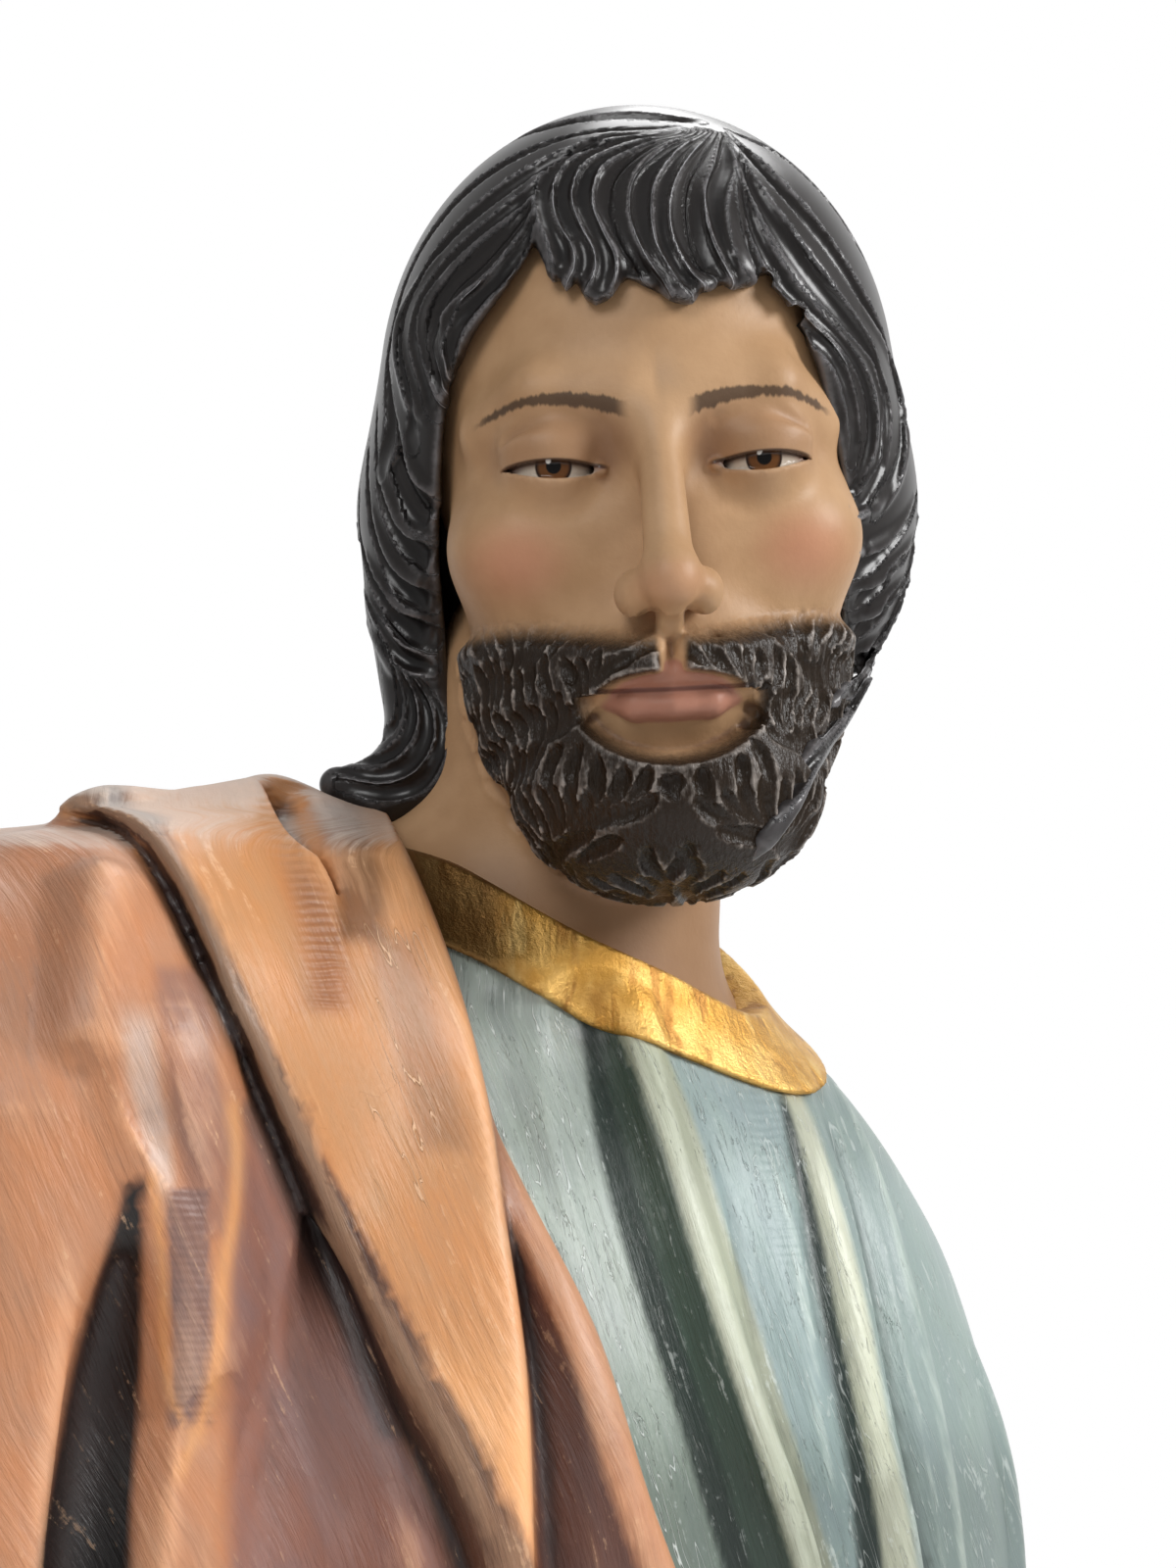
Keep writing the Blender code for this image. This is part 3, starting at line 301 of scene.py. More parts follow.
# Folds: half width and height in mm, profile (0 rounded, 1 crested, 2 a gouge's), tapering at (start, end), and the
# course in that view
FOLDS = (
    # tunic: deep groove, and the sharp ridges and shallow channels beside it
    (20, -15, 1, 0, 0, ((4, -125), (14, -195), (38, -285), (78, -400), (120, -760))),
    (13, 7, 1, 0, 0, ((20, -120), (38, -180), (62, -250), (85, -320), (118, -400), (160, -760))),
    (15, -6, 0, 1, 0, ((66, -175), (84, -260), (108, -340), (128, -410), (150, -760))),
    (10, -7, 1, 1, 0, ((102, -165), (116, -230), (130, -310), (142, -400), (158, -760))),
    (9, 6, 1, 1, 0, ((92, -140), (116, -195), (134, -265), (148, -335), (162, -400), (178, -760))),
    (8, -5, 0, 1, 0, ((124, -160), (144, -230), (160, -310), (176, -400), (186, -760))),
    (7, 4, 1, 1, 0, ((118, -138), (146, -200), (168, -280), (184, -360), (194, -460))),
    (9, -4, 0, 1, 0, ((-48, -120), (-26, -190), (4, -260), (30, -330), (52, -400))),
    # shawl fold: rolled edge, the gouged valley, the broad ridge beside it
    (15, 6, 0, 0, 1, ((-262, -8), (-236, -14), (-206, -42), (-178, -95), (-150, -150), (-130, -200))),
    (16, -11, 0, 1, 1, ((-164, -8), (-150, -36), (-138, -66), (-133, -98), (-134, -116))),
    (22, 6, 0, 0, 1, ((-152, 8), (-128, -10), (-112, -60), (-98, -120), (-86, -180))),
    (15, -8, 1, 0, 0, ((-212, -52), (-180, -124), (-149, -194), (-108, -289), (-58, -404), (-38, -560))),
    (13, -7, 1, 1, 0, ((-50, -170), (-39, -225), (-27, -300), (-18, -400), (-10, -560))),
    # over the arm: the long finger of cloth, the hollow beside it, the thin ridge, the outer fold
    (24, 12, 0, 1, 1, ((-222, -90), (-216, -150), (-208, -230), (-204, -315), (-206, -330))),
    (20, -26, 1, 1, 0, ((-232, -200), (-240, -260), (-248, -330), (-256, -400), (-262, -760))),
    (9, 7, 1, 1, 0, ((-172, -150), (-178, -230), (-190, -300), (-205, -400), (-222, -760))),
    (26, 10, 0, 1, 0, ((-278, -150), (-284, -230), (-290, -320), (-296, -420), (-300, -760))),
    (30, -7, 0, 1, 0, ((-150, -230), (-150, -300), (-142, -400), (-136, -760))),
    (16, 7, 0, 0, 1, ((-250, -60), (-252, -100), (-256, -150))),
)


# Finer folds between these
FINE_FOLDS = (
    # tunic: the groove's sharp bottom, the two edges of the strip beside it, and folds in the panels
    (7, -8, 1, 1, 0, ((1, -130), (10, -185), (26, -240), (45, -300), (78, -400), (119, -760))),
    (5, 4, 1, 1, 0, ((14, -130), (36, -180), (52, -230), (72, -290), (92, -350), (108, -400), (150, -760))),
    (5, 3, 1, 1, 0, ((30, -130), (56, -180), (72, -230), (93, -290), (112, -350), (128, -400), (170, -760))),
    (13, -3, 2, 1, 0, ((66, -150), (88, -225), (106, -290), (120, -350), (132, -400), (160, -760))),
    (12, -3, 2, 0, 1, ((-40, -110), (-20, -170), (2, -235), (24, -300))),
    (8, -2.5, 2, 1, 1, ((-14, -120), (-4, -170), (14, -235), (32, -300), (52, -360))),
    (6, -7, 1, 1, 0, ((103, -170), (114, -225), (123, -275), (133, -325), (144, -400), (159, -760))),
    (5, 5, 1, 1, 0, ((98, -145), (118, -190), (131, -235), (143, -290), (152, -335), (166, -400), (182, -760))),
    (5, -3, 2, 1, 0, ((112, -145), (134, -200), (150, -260), (164, -330), (176, -400))),
    # shawl: the scooped valley, and shallow creases down the broad band
    (9, -2.5, 2, 1, 1, ((-126, -84), (-108, -130), (-92, -190), (-74, -260))),
    (7, -2, 2, 1, 1, ((-184, -64), (-156, -120), (-124, -195), (-90, -280))),
    (6, 3, 1, 1, 0, ((-70, -100), (-56, -165), (-49, -220), (-39, -300), (-34, -400))),
    # arm: the finger scooped out along its top, the black hollow's depth, creases
    (13, -10, 2, 1, 1, ((-230, -118), (-225, -160), (-212, -208), (-203, -250), (-201, -295), (-204, -322))),
    (4, 3.5, 1, 1, 0, ((-196, -170), (-188, -215), (-184, -265), (-187, -310), (-196, -340), (-214, -400))),
    (17, -16, 1, 1, 0, ((-226, -205), (-237, -245), (-246, -290), (-255, -340), (-262, -400), (-268, -760))),
    (6, 3, 1, 1, 0, ((-160, -190), (-164, -250), (-176, -330), (-190, -400))),
    (14, -3, 2, 1, 1, ((-150, -200), (-140, -260), (-122, -330), (-100, -400))),
    (16, -4, 2, 1, 1, ((-275, -40), (-276, -100), (-282, -170))),
)


# Folds that this view doesn't show, in groups: bearings round the trunk of the first and last (0 is the front,
# 90 the left shoulder), how many, their highest point, how far they swing on the way down, half width, height
DRAPES = (
    (62, 128, 5, 232, 8, 13, 6),
    (140, 158, 2, 250, 10, 15, -6),
    (172, 236, 5, 318, -24, 19, 9),
    (246, 288, 4, 318, -6, 16, 8),
)


def neck(p):
    return limb(p, NECK_FOOT, NECK_TOP, 60, 51)


def body(p):
    """Trunk and shoulders under the garments."""
    f = ellipsoid(p, (0, 18, 105), (170, 106, 212))
    f = join(f, limb(p, (-55, 40, 300), (-182, 28, 268), 56, 58), 34)
    f = join(f, limb(p, (-84, 50, 318), (-122, 38, 302), 44, 46), 20)
    f = join(f, limb(p, (-188, 22, 262), (-214, 12, -30), 56, 52), 44)
    f = join(f, limb(p, (40, 46, 266), (118, 48, 196), 44, 44), 34)
    f = join(f, limb(p, (118, 46, 196), (140, 44, -30), 44, 46), 44)
    return f


def dressed(p):
    return join(body(p), neck(p) - F32(6), 22)


def in_view(p):
    q = [p[i] - F32(LOOKOUT[i]) for i in range(3)]
    deep = np.maximum(sum(q[i] * F32(SIGHT[i]) for i in range(3)), 50)
    across = sum(q[i] * F32(ACROSS[i]) for i in range(3)) / deep * 1000
    up = sum(q[i] * F32(UPWARD[i]) for i in range(3)) / deep * 1000
    return across, up, deep


def rising(course):
    """Points along a smooth course in the view, from the lowest up."""
    c = curve(course, 60)
    return c[np.argsort(c[:, 1])]


def beside(across, up, deep, edge):
    """Distance in mm to the right of an edge that runs down the view."""
    e = rising(edge)
    at = np.interp(up, e[:, 1], e[:, 0]).astype(F32)
    slope = np.interp(up, 0.5 * (e[1:, 1] + e[:-1, 1]), np.diff(e[:, 0]) / np.maximum(np.diff(e[:, 1]), 1e-3))
    return (across - at) / np.sqrt(1 + slope ** 2).astype(F32) * deep / 1000


def even(points, count=None):
    """The same course with its points evenly spaced."""
    at = np.concatenate([[0], np.cumsum(np.linalg.norm(np.diff(points, axis=0), axis=1))])
    want = np.linspace(0, at[-1], count or len(points))
    return np.stack([np.interp(want, at, points[:, i]) for i in range(points.shape[1])], 1)


def laid_out(fold_table, field):
    """The folds' courses on the form."""
    right, up, ahead = np.array(ACROSS), np.array(UPWARD), np.array(SIGHT)
    strokes = []
    for half, height, crested, start, end, course in fold_table:
        c = curve(course, 6 * len(course))
        rays = ahead + right * c[:, :1] / 1000 + up * c[:, 1:] / 1000
        points = land(field, np.repeat([LOOKOUT], len(c), 0), rays, *BODY_SPAN)
        points = even(points[points[:, 2] > -45])
        strokes.append((points, half, height, crested, start, end))
    return strokes


def draped(groups, field):
    """The folds of the sides and back, each a smooth swing from shoulder to foot."""
    strokes = []
    for first, last, count, top, swing, half, height in groups:
        for n in range(count):
            share = n / max(count - 1, 1)
            down = np.linspace(0, 1, 14)
            around = np.radians(first + (last - first) * share + swing * down + 3 * np.sin(2.4 * math.pi * down + n))
            way = np.stack([np.sin(around), -np.cos(around), 0 * down], 1)
            level = top - 30 * abs(2 * share - 1) - (top + 30) * down
            start = np.stack([-25 + 320 * way[:, 0], 20 + 320 * way[:, 1], level], 1)
            strokes.append((land(field, start, -way, 0, 320), half, height, n % 2, 1, 0))
    return strokes


def fold_heights(p, strokes):
    """Height that the folds add at each point."""
    h = np.zeros(len(p[0]), F32)
    for points, half, height, crested, start, end in strokes:
        who, off, along = near_stroke(p, points, half)
        r = np.clip(1 - off / F32(half), 0, 1)
        profile = (r ** F32(1.4), r * (2 - r))[crested - 1] if crested else (1 - (1 - r) ** 2) ** 2
        fade = (ease(along / 0.25) if start else 1) * (ease((1 - along) / 0.2) if end else 1)
        h[who] += F32(height) * profile * fade
    return h


def collar_height(p):
    """Height above the neck opening's edge, which is lowest at the front left and rises to the nape."""
    around = np.arctan2(p[0] + F32(6), F32(36) - p[1])
    turn = around - F32(math.radians(20))
    rise = 55 * (1 - np.exp(-(1 - np.cos(turn)) / F32(0.55)))
    wave = 3.0 * np.sin(5 * around + F32(1.2))
    return (p[2] - F32(COLLAR_TOP) - rise - wave) * F32(0.9)


def from_head(p):
    """Places in the head's frame, as places in the bust's."""
    return [sum(F32(HEAD_AXES[r][c]) * p[c] for c in range(3)) + F32(HEAD_PLACE[r]) for r in range(3)]


# Hair round the face, in the same view: the edges of the face's opening, then families of locks. A family is
# a row of guide locks, each from root to tip, and the gouge runs between them.
OPEN_LEFT = ((-26, 300), (-27, 278), (-40, 255), (-55, 235), (-68, 215), (-73, 185), (-75, 150), (-76, 120),
             (-73, 80), (-71, 50), (-67, 20), (-62, -10), (-45, -60))
OPEN_RIGHT = ((85, 300), (88, 262), (101, 245), (113, 225), (122, 190), (128, 160), (130, 135), (129, 100),
              (127, 75), (122, 40), (112, 5), (95, -35), (75, -60))
OPEN_TOP = ((-60, 240), (-27, 275), (-22, 265), (-18, 256), (-14, 257), (-11, 251), (-6, 256), (-1, 247), (4, 244),
            (11, 249), (20, 254), (32, 250), (45, 246), (53, 245), (58, 251), (64, 252), (68, 255), (74, 252),
            (80, 255), (87, 257), (95, 254), (110, 250), (130, 220))
FRINGE = (
    ((45, 332), (0, 330), (-20, 318), (-27, 305), (-26, 292), (-20, 277), (-17, 268), (-19, 258)),
    ((50, 333), (10, 329), (-12, 316), (-19, 302), (-16, 287), (-8, 275), (-8, 264), (-12, 254)),
    ((52, 333), (20, 327), (-4, 315), (-9, 300), (-3, 285), (3, 272), (3, 260), (0, 250)),
    ((56, 334), (27, 326), (6, 314), (2, 300), (8, 284), (14, 271), (13, 258), (6, 247)),
    ((59, 334), (37, 325), (22, 311), (20, 296), (24, 281), (31, 267), (41, 255), (50, 247)),
    ((62, 334), (46, 324), (35, 310), (33, 295), (35, 278), (42, 264), (48, 254), (54, 247)),
    ((64, 333), (54, 324), (45, 309), (42, 293), (45, 277), (52, 264), (58, 258), (62, 253)),
    ((67, 332), (65, 321), (60, 307), (61, 292), (65, 277), (70, 266), (73, 260), (75, 254)),
    ((71, 331), (75, 317), (71, 304), (70, 290), (73, 276), (77, 266), (80, 260), (84, 254)),
)
LEFT_TOP = (
    ((66, 340), (30, 348), (-5, 345), (-45, 334), (-78, 306), (-98, 275), (-107, 248), (-113, 222), (-117, 195),
     (-121, 165)),
    ((50, 336), (0, 334), (-35, 325), (-65, 307), (-85, 282), (-97, 255), (-103, 230), (-108, 205), (-110, 180),
     (-114, 155)),
    ((45, 334), (0, 331), (-27, 321), (-55, 302), (-76, 279), (-89, 257), (-96, 235), (-99, 215), (-96, 200),
     (-93, 180), (-98, 162)),
    ((0, 327), (-20, 315), (-45, 295), (-69, 274), (-85, 255), (-94, 237), (-95, 222), (-92, 207), (-88, 195),
     (-81, 186)),
    ((-25, 305), (-40, 289), (-60, 274), (-76, 257), (-85, 242), (-87, 227), (-83, 212), (-78, 201), (-72, 192)),
    ((-26, 297), (-36, 280), (-51, 261), (-65, 250), (-72, 239), (-76, 227), (-74, 215), (-70, 203)),
    ((-26, 290), (-32, 272), (-44, 255), (-56, 242), (-64, 232), (-68, 222), (-69, 210)),
)
LEFT_SIDE = (
    ((-101, 210), (-96, 195), (-93, 180), (-90, 165), (-84, 152), (-78, 144)),
    ((-106, 200), (-106, 180), (-105, 160), (-99, 144), (-91, 131), (-80, 124)),
    ((-109, 185), (-110, 162), (-108, 140), (-102, 122), (-92, 109), (-79, 101)),
    ((-115, 160), (-115, 137), (-111, 117), (-104, 102), (-95, 91), (-81, 84)),
    ((-118, 145), (-118, 120), (-113, 100), (-106, 85), (-96, 72), (-80, 64)),
    ((-119, 120), (-117, 102), (-112, 84), (-104, 69), (-94, 58), (-79, 53)),
)
LEFT_FLIP = (
    ((-115, 100), (-109, 80), (-102, 62), (-99, 47), (-101, 35), (-110, 26), (-124, 22)),
    ((-112, 90), (-104, 70), (-96, 52), (-94, 37), (-98, 25), (-109, 17), (-128, 16)),
    ((-107, 80), (-98, 62), (-89, 46), (-87, 30), (-94, 16), (-107, 9), (-130, 10)),
    ((-102, 72), (-91, 56), (-80, 40), (-79, 22), (-88, 7), (-103, 1), (-126, 4)),
    ((-95, 65), (-82, 50), (-72, 32), (-74, 12), (-85, -4), (-102, -9), (-122, -5)),
)
RIGHT_TOP = (
    ((68, 341), (100, 338), (132, 315), (153, 285), (165, 256), (173, 228), (177, 205), (180, 180), (181, 160)),
    ((70, 335), (100, 326), (125, 305), (142, 277), (154, 250), (161, 225), (165, 200), (171, 175), (174, 155)),
    ((71, 333), (95, 317), (119, 292), (136, 267), (149, 242), (157, 220), (161, 197), (163, 177), (165, 157),
     (163, 140)),
    ((72, 331), (85, 312), (105, 287), (122, 265), (138, 242), (149, 224), (156, 202), (159, 180), (157, 160),
     (147, 144), (131, 132)),
    ((74, 329), (81, 305), (92, 280), (107, 257), (124, 237), (140, 219), (149, 200), (150, 180), (146, 162),
     (136, 146), (128, 136)),
    ((76, 325), (78, 300), (84, 277), (95, 257), (110, 242), (126, 227), (138, 210), (143, 190), (142, 170),
     (135, 152)),
    ((79, 310), (79, 287), (82, 269), (90, 250), (104, 235), (119, 221), (129, 202), (133, 185), (133, 165)),
)
RIGHT_SIDE = (
    ((165, 190), (167, 165), (163, 142), (153, 127), (142, 120), (131, 117)),
    ((170, 180), (172, 155), (168, 135), (157, 116), (145, 105), (132, 100)),
    ((174, 165), (174, 145), (169, 125), (159, 104), (146, 91), (131, 83)),
    ((175, 150), (172, 127), (164, 105), (154, 85), (142, 72), (129, 66)),
    ((172, 125), (162, 100), (152, 77), (142, 60), (131, 47), (120, 37)),
    ((165, 105), (156, 80), (146, 57), (134, 39), (121, 24), (106, 5)),
    ((155, 80), (146, 55), (132, 32), (117, 12), (100, -15), (80, -42)),
)
# The same for the hair that this view doesn't show: (bearing round the head, height) in degrees, 0 being the face
BACK = (
    ((70, 74), (80, 60), (78, 40), (88, 20), (82, -2), (92, -22), (106, -38)),
    ((74, 76), (100, 60), (102, 40), (112, 18), (106, -6), (116, -28), (124, -46)),
    ((84, 78), (130, 62), (132, 38), (140, 14), (134, -10), (144, -34), (146, -52)),
    ((110, 80), (162, 62), (164, 38), (171, 14), (164, -10), (174, -34), (172, -54)),
    ((150, 84), (196, 62), (200, 38), (204, 14), (198, -10), (208, -34), (200, -54)),
    ((240, 86), (230, 62), (234, 38), (236, 12), (230, -12), (238, -34), (228, -52)),
    ((300, 84), (262, 62), (262, 38), (260, 12), (256, -12), (260, -30), (250, -46)),
    ((320, 80), (290, 60), (284, 38), (284, 14), (279, -10), (282, -28), (274, -40)),
)


def bearing(course):
    a, e = np.radians(course[:, 0]), np.radians(course[:, 1])
    return np.stack([np.sin(a) * np.cos(e), -np.cos(a) * np.cos(e), np.sin(e)], 1)


def channels(p, strokes, cover=None):
    """Depth that the gouges take out at each point. A stroke is its course, half its width and its depth."""
    taken = np.zeros(len(p[0]), F32)
    for course, half, deep in strokes:
        who, off, along = near_stroke(p, course, half.max() * (1.3 if cover is not None else 1.0))
        if len(who):
            at = np.linspace(0, 1, len(course))
            share = off / np.maximum(np.interp(along, at, half), 0.3)
            taken[who] = np.maximum(taken[who], np.clip(1 - share ** 2, 0, 1) * np.interp(along, at, deep))
            if cover is not None:
                cover[who] = np.maximum(cover[who], ease((1.3 - share) / 0.3))
    return taken


def layered(p, families):
    """The same for families of locks, each laid over those before it."""
    taken = np.zeros(len(p[0]), F32)
    for broad, fine in families:
        cover = np.zeros(len(p[0]), F32)
        own = channels(p, broad, cover) + channels(p, fine)
        taken += (own - taken) * cover
    return taken


def with_bars(f, p, bars, soft):
    """The form with round bars of varying radius laid on it."""
    f = f.copy()
    for course, radius in bars:
        who, off, along = near_stroke(p, course, radius.max() + 4)
        if len(who):
            bar = off - np.interp(along, np.linspace(0, 1, len(course)), radius).astype(F32)
            f[who] = join(f[who], bar, soft)
    return f


CHIN = (0.0, -40.0, -76.0)  # the beard is laid out by bearing and height round this point


def beard_turn(around, height):
    """Which way the beard runs at a bearing and a height: degrees from straight down, outward above 0."""
    outward = 66 * ease((30 - around) / 16) * ease((height + 3) / 9)
    under_lip = 34 * ease(around / 12) * ease((46 - around) / 20) * ease((-2 - height) / 8) * ease((height + 50) / 22)
    inward = -20 * ease((around - 34) / 26) - 34 * ease((-38 - height) / 22) * ease(around / 10)
    return outward + under_lip + inward


def beard_course(around, height, long, wave, side):
    """A beard stroke's rays: from where it starts, in degrees round the chin, it winds down with the others."""
    step = long / 8
    spots = []
    for _ in range(9):
        spots.append((around, height))
        swing = beard_turn(around, height) + 36 * math.sin(0.21 * height + 0.10 * around + wave)
        height -= math.degrees(math.cos(math.radians(swing)) * step / 66)
        around += math.degrees(math.sin(math.radians(swing)) * step / 66 / max(math.cos(math.radians(height)), 0.35))
    a, e = np.radians(np.array(spots)).T
    way = np.stack([side * np.sin(a) * np.cos(e), -np.cos(a) * np.cos(e), np.sin(e)], 1)
    return np.array(CHIN) + 120 * way, -way


class Face:
    """Face, beard, neck and the top of the chest, in the head's frame."""

    def __init__(self):
        rng = np.random.default_rng(11)
        self.cuts = []
        at = np.linspace(0, 1, 9)
        leaf = np.sin(math.pi * at ** 0.75) ** 0.7 * 0.9 + 0.1
        for row in range(10):
            height = 37 - 11.2 * row
            count = int(18 * math.cos(math.radians(max(height, -66)))) + 2
            for n in range(count):
                for side in (-1, 1):
                    around = (n + 0.25 + 0.5 * (row % 2)) / count * 112 + rng.uniform(-0.7, 0.7)
                    above = height + rng.uniform(-2.5, 2.5)
                    long = 13 if around < 30 and height > 0 else rng.uniform(17, 21)
                    course = beard_course(around, above, long, 0.4 * side + 0.3 * math.sin(row), side)
                    points = land(face, *course, 0, 118)
                    # a course that leaps off a lip starts below it
                    leaps = np.nonzero(np.linalg.norm(np.diff(points, axis=0), axis=1) > 7)[0]
                    points = even(points[leaps.max() + 1:] if len(leaps) and leaps.max() < 5 else points, 9)
                    amount = beard_amount(points.T)
                    if amount.max() > 0.2 and np.linalg.norm(np.diff(points, axis=0), axis=1).max() < 9:
                        half = rng.uniform(2.8, 3.4) * leaf
                        full = np.clip(amount * (3.0 if height < 5 else 1.6) - 0.1, 0, 1)
                        deep = rng.uniform(4.6, 6.0) * leaf * full
                        self.cuts.append((points, half, deep))

    def __call__(self, p):
        f = face(p) + channels(p, self.cuts)
        q = from_head(p)
        skin = join(body(q) + F32(7), neck(q), 26)
        f = join(f, skin, 6)
        f = np.maximum(f, p[1] - F32(45))
        return np.maximum(f, -collar_height(q) - F32(16))


HAIR_SEAM = 36.0  # y where the hair's two halves meet, in the head's frame

# Families of locks, each laid over those before it, with how far their tips run on past the guides' ends, in
# thousandths of the view, and the first guide whose tip stands free
LOCKS = (
    (LEFT_FLIP, 2, 5), (LEFT_SIDE, -1, 0), (LEFT_TOP, -2, 3), (RIGHT_SIDE, -6, 0), (RIGHT_TOP, -6, 3), (FRINGE, -3, 0),
)


def lengthened(guide, by):
    g = np.array(guide, float)
    last = g[-1] - g[-2]
    g[-1] += last / np.linalg.norm(last) * by
    return g


def apart(a, b):
    """Distance between two neighbouring courses, square to their run."""
    run = np.gradient((a + b) / 2, axis=0)
    run /= np.maximum(np.linalg.norm(run, axis=1), 1e-9)[:, None]
    d = a - b
    return np.linalg.norm(d - (d * run).sum(1)[:, None] * run, axis=1)


class Hair:
    """The hair with the face's opening cut out of it, in the head's frame."""

    def __init__(self):
        self.families, self.bars, self.strands = [], [], []
        at = np.linspace(0, 1, 30)
        thick = np.interp(at, (0, 0.45, 0.75, 0.92, 1), (0, 0.2, 3.4, 3.4, 1.4))
        for guides, by, first in LOCKS:
            for guide in guides[first:]:
                points = self.lay(curve(lengthened(guide, by), 30), self.with_skin)
                self.bars.append((points[13:], thick[13:]))
        back = [curve(bearing(np.array(guide)), 30) for guide in BACK]
        self.families.append(([], []))
        run = 0
        for a, b in zip(back, back[1:]):
            gap = apart(a, b) * 100
            self.add(self.lay_back(a + b), gap, self.families[0][0], 0.25, 4.5, -1)
            for k in range(6):
                t = (k + 0.5) / 6
                points = self.lay_back(a * (1 - t) + b * t)
                self.add(points, gap / 6, self.families[0][1], 0.5, 2.6, -1)
                self.strands.append((points, 0, run + 0.5))
                run += 1
        for family, (guides, by, first) in enumerate(LOCKS, 1):
            smooth = [curve(lengthened(guide, by), 30) for guide in guides]
            self.families.append(([], []))
            for a, b in zip(smooth, smooth[1:]):
                gap = apart(a, b) * 0.62
                self.add(self.lay((a + b) / 2, self.with_bars), gap, self.families[family][0], 0.5, 5.5)
                count = int(np.clip(round(np.median(gap) / 4.6), 1, 3))
                for k in range(count):
                    t = (k + 0.5) / count
                    points = self.lay(a * (1 - t) + b * t, self.with_bars)
                    self.add(points, gap / count, self.families[family][1], 0.6, 3.4)
                    self.strands.append((points, family, run + 0.5))
                    run += 1

    @staticmethod
    def add(points, gap, strokes, share, most, side=1):
        """Adds a gouge as wide as its gap. One seen from the lookout fades behind the ears, the others before."""
        at = np.linspace(0, 1, len(points))
        y = points[:, 1]
        seen = ease((44 - y) / 16) if side > 0 else ease((y - 12) / 14)
        deep = np.minimum(gap * share, most) * ease(at / 0.1 + 0.1) * ease((1 - at) / 0.3 + 0.12) * seen
        strokes.append((points, np.clip(gap * 0.54, 1.0, 9.0), deep))

    @staticmethod
    def lay(course, form):
        rays = np.array(SIGHT) + np.array(ACROSS) * course[:, :1] / 1000 + np.array(UPWARD) * course[:, 1:] / 1000
        start = (np.repeat([LOOKOUT], len(course), 0) - np.array(HEAD_PLACE)) @ HEAD_AXES
        return land(form, start, rays @ HEAD_AXES, *HEAD_SPAN, 120)

    @staticmethod
    def lay_back(way):
        way = way / np.linalg.norm(way, axis=1)[:, None]
        return land(hair_mass, np.array((0, 12, 0)) + way * 220, -way, 0, 200)

    def opening(self, p):
        across, up, deep = in_view(from_head(p))
        w = np.maximum(-beside(across, up, deep, OPEN_LEFT), beside(across, up, deep, OPEN_RIGHT))
        top = np.interp(across, [c[0] for c in OPEN_TOP], [c[1] for c in OPEN_TOP]).astype(F32)
        w = np.maximum(w, (up - top) * deep / 1000)
        return np.maximum(w, p[1] - F32(10))

    def mass(self, p):
        return cut(hair_mass(p), self.opening(p), 6)

    def with_skin(self, p):
        """The hair's mass on the head, where the tips of the locks are laid."""
        return np.minimum(self.mass(p), face(p)) + F32(1.2)

    def with_bars(self, p):
        return in_order(lambda q: with_bars(self.mass(q), q, self.bars, 3), p)

    def __call__(self, p):
        f = with_bars(self.mass(p), p, self.bars, 3)
        return f + layered(p, self.families)

    def front(self, p):
        """The half that is seen from the lookout; each half dips below the other past their seam."""
        past = np.maximum(p[1] - F32(HAIR_SEAM), 0)
        return np.maximum(self(p) + F32(0.15) * past ** 2, past - F32(6))

    def back(self, p):
        past = np.maximum(F32(HAIR_SEAM) - p[1], 0)
        return np.maximum(self(p) + F32(0.15) * past ** 2, past - F32(6))


class Cloth:
    """The garments' layers over the clothed body."""

    def __init__(self):
        self.folds = laid_out(FOLDS + FINE_FOLDS, dressed)
        self.drapes = draped(DRAPES, dressed)

    def base(self, p):
        front = ease((F32(52) - p[1]) / F32(30))
        f = dressed(p) - fold_heights(p, self.folds) * front - fold_heights(p, self.drapes)
        # the cloth sinks beside the neck, where the hair's outward flip lies over it
        across, up, _ = in_view(p)
        return f + F32(18) * ease((across + 172) / 62) * ease((-90 - across) / 16) * ease((up + 38) / 30)

    @staticmethod
    def edges(p):
        """Distances in mm past the shawl's right and left edges and the under layer's right one."""
        across, up, deep = in_view(p)
        front = ease((F32(52) - p[1]) / F32(30))
        behind = (p[0] + F32(80)) * F32(0.795) + (p[2] - F32(362)) * F32(0.607)
        shawl_right = beside(across, up, deep, SHAWL_RIGHT) * front + behind * (1 - front)
        under_right = beside(across, up, deep, UNDER_RIGHT) * front + (behind - 2) * (1 - front)
        shawl_left = beside(across, up, deep, SHAWL_LEFT) * front + (p[0] + F32(184)) * (1 - front)
        return shawl_right, under_right, shawl_left, front

    @staticmethod
    def flank(p):
        """Width in mm of the shawl's left side, which slants to the arm ever more gently on the way down."""
        up = in_view(p)[1]
        return np.interp(up, (-560, -400, -300, -235, -190, -90), (24, 18, 14, 11, 9, 7)).astype(F32)

    def collar(self, p):
        b = self.base(p)
        c = collar_height(p)
        ring = cut(b - F32(2.6), -np.maximum(c, -c - F32(COLLAR_WIDTH)), 1.4)
        return np.maximum(ring, -b - F32(7))

    def tunic(self, p):
        b = self.base(p)
        under_right = self.edges(p)[1]
        f = b + F32(3) * ease(-under_right / F32(6))
        f = np.maximum(f, collar_height(p) + F32(7))
        return np.maximum(f, -p[2])

    def mantle(self, p):
        b = self.base(p)
        shawl_right, under_right, shawl_left, front = self.edges(p)
        t = F32(CLOTH_THICKNESS)
        hem = F32(3) * np.exp(-((under_right + 6) / F32(6)) ** 2)
        under = cut(b - t * F32(0.6) - hem, -under_right, 3)
        arm = F32(0.8) * t * ease(F32(0.5) - shawl_left / self.flank(p)) * front
        shawl = cut(b - t * F32(1.5) + arm, -shawl_right, 4)
        f = join(under, shawl, 1.2)
        f = np.maximum(f, -b - F32(8))
        return np.maximum(f, -p[2])


def columns(points):
    return [points[:, i].astype(F32) for i in range(3)]


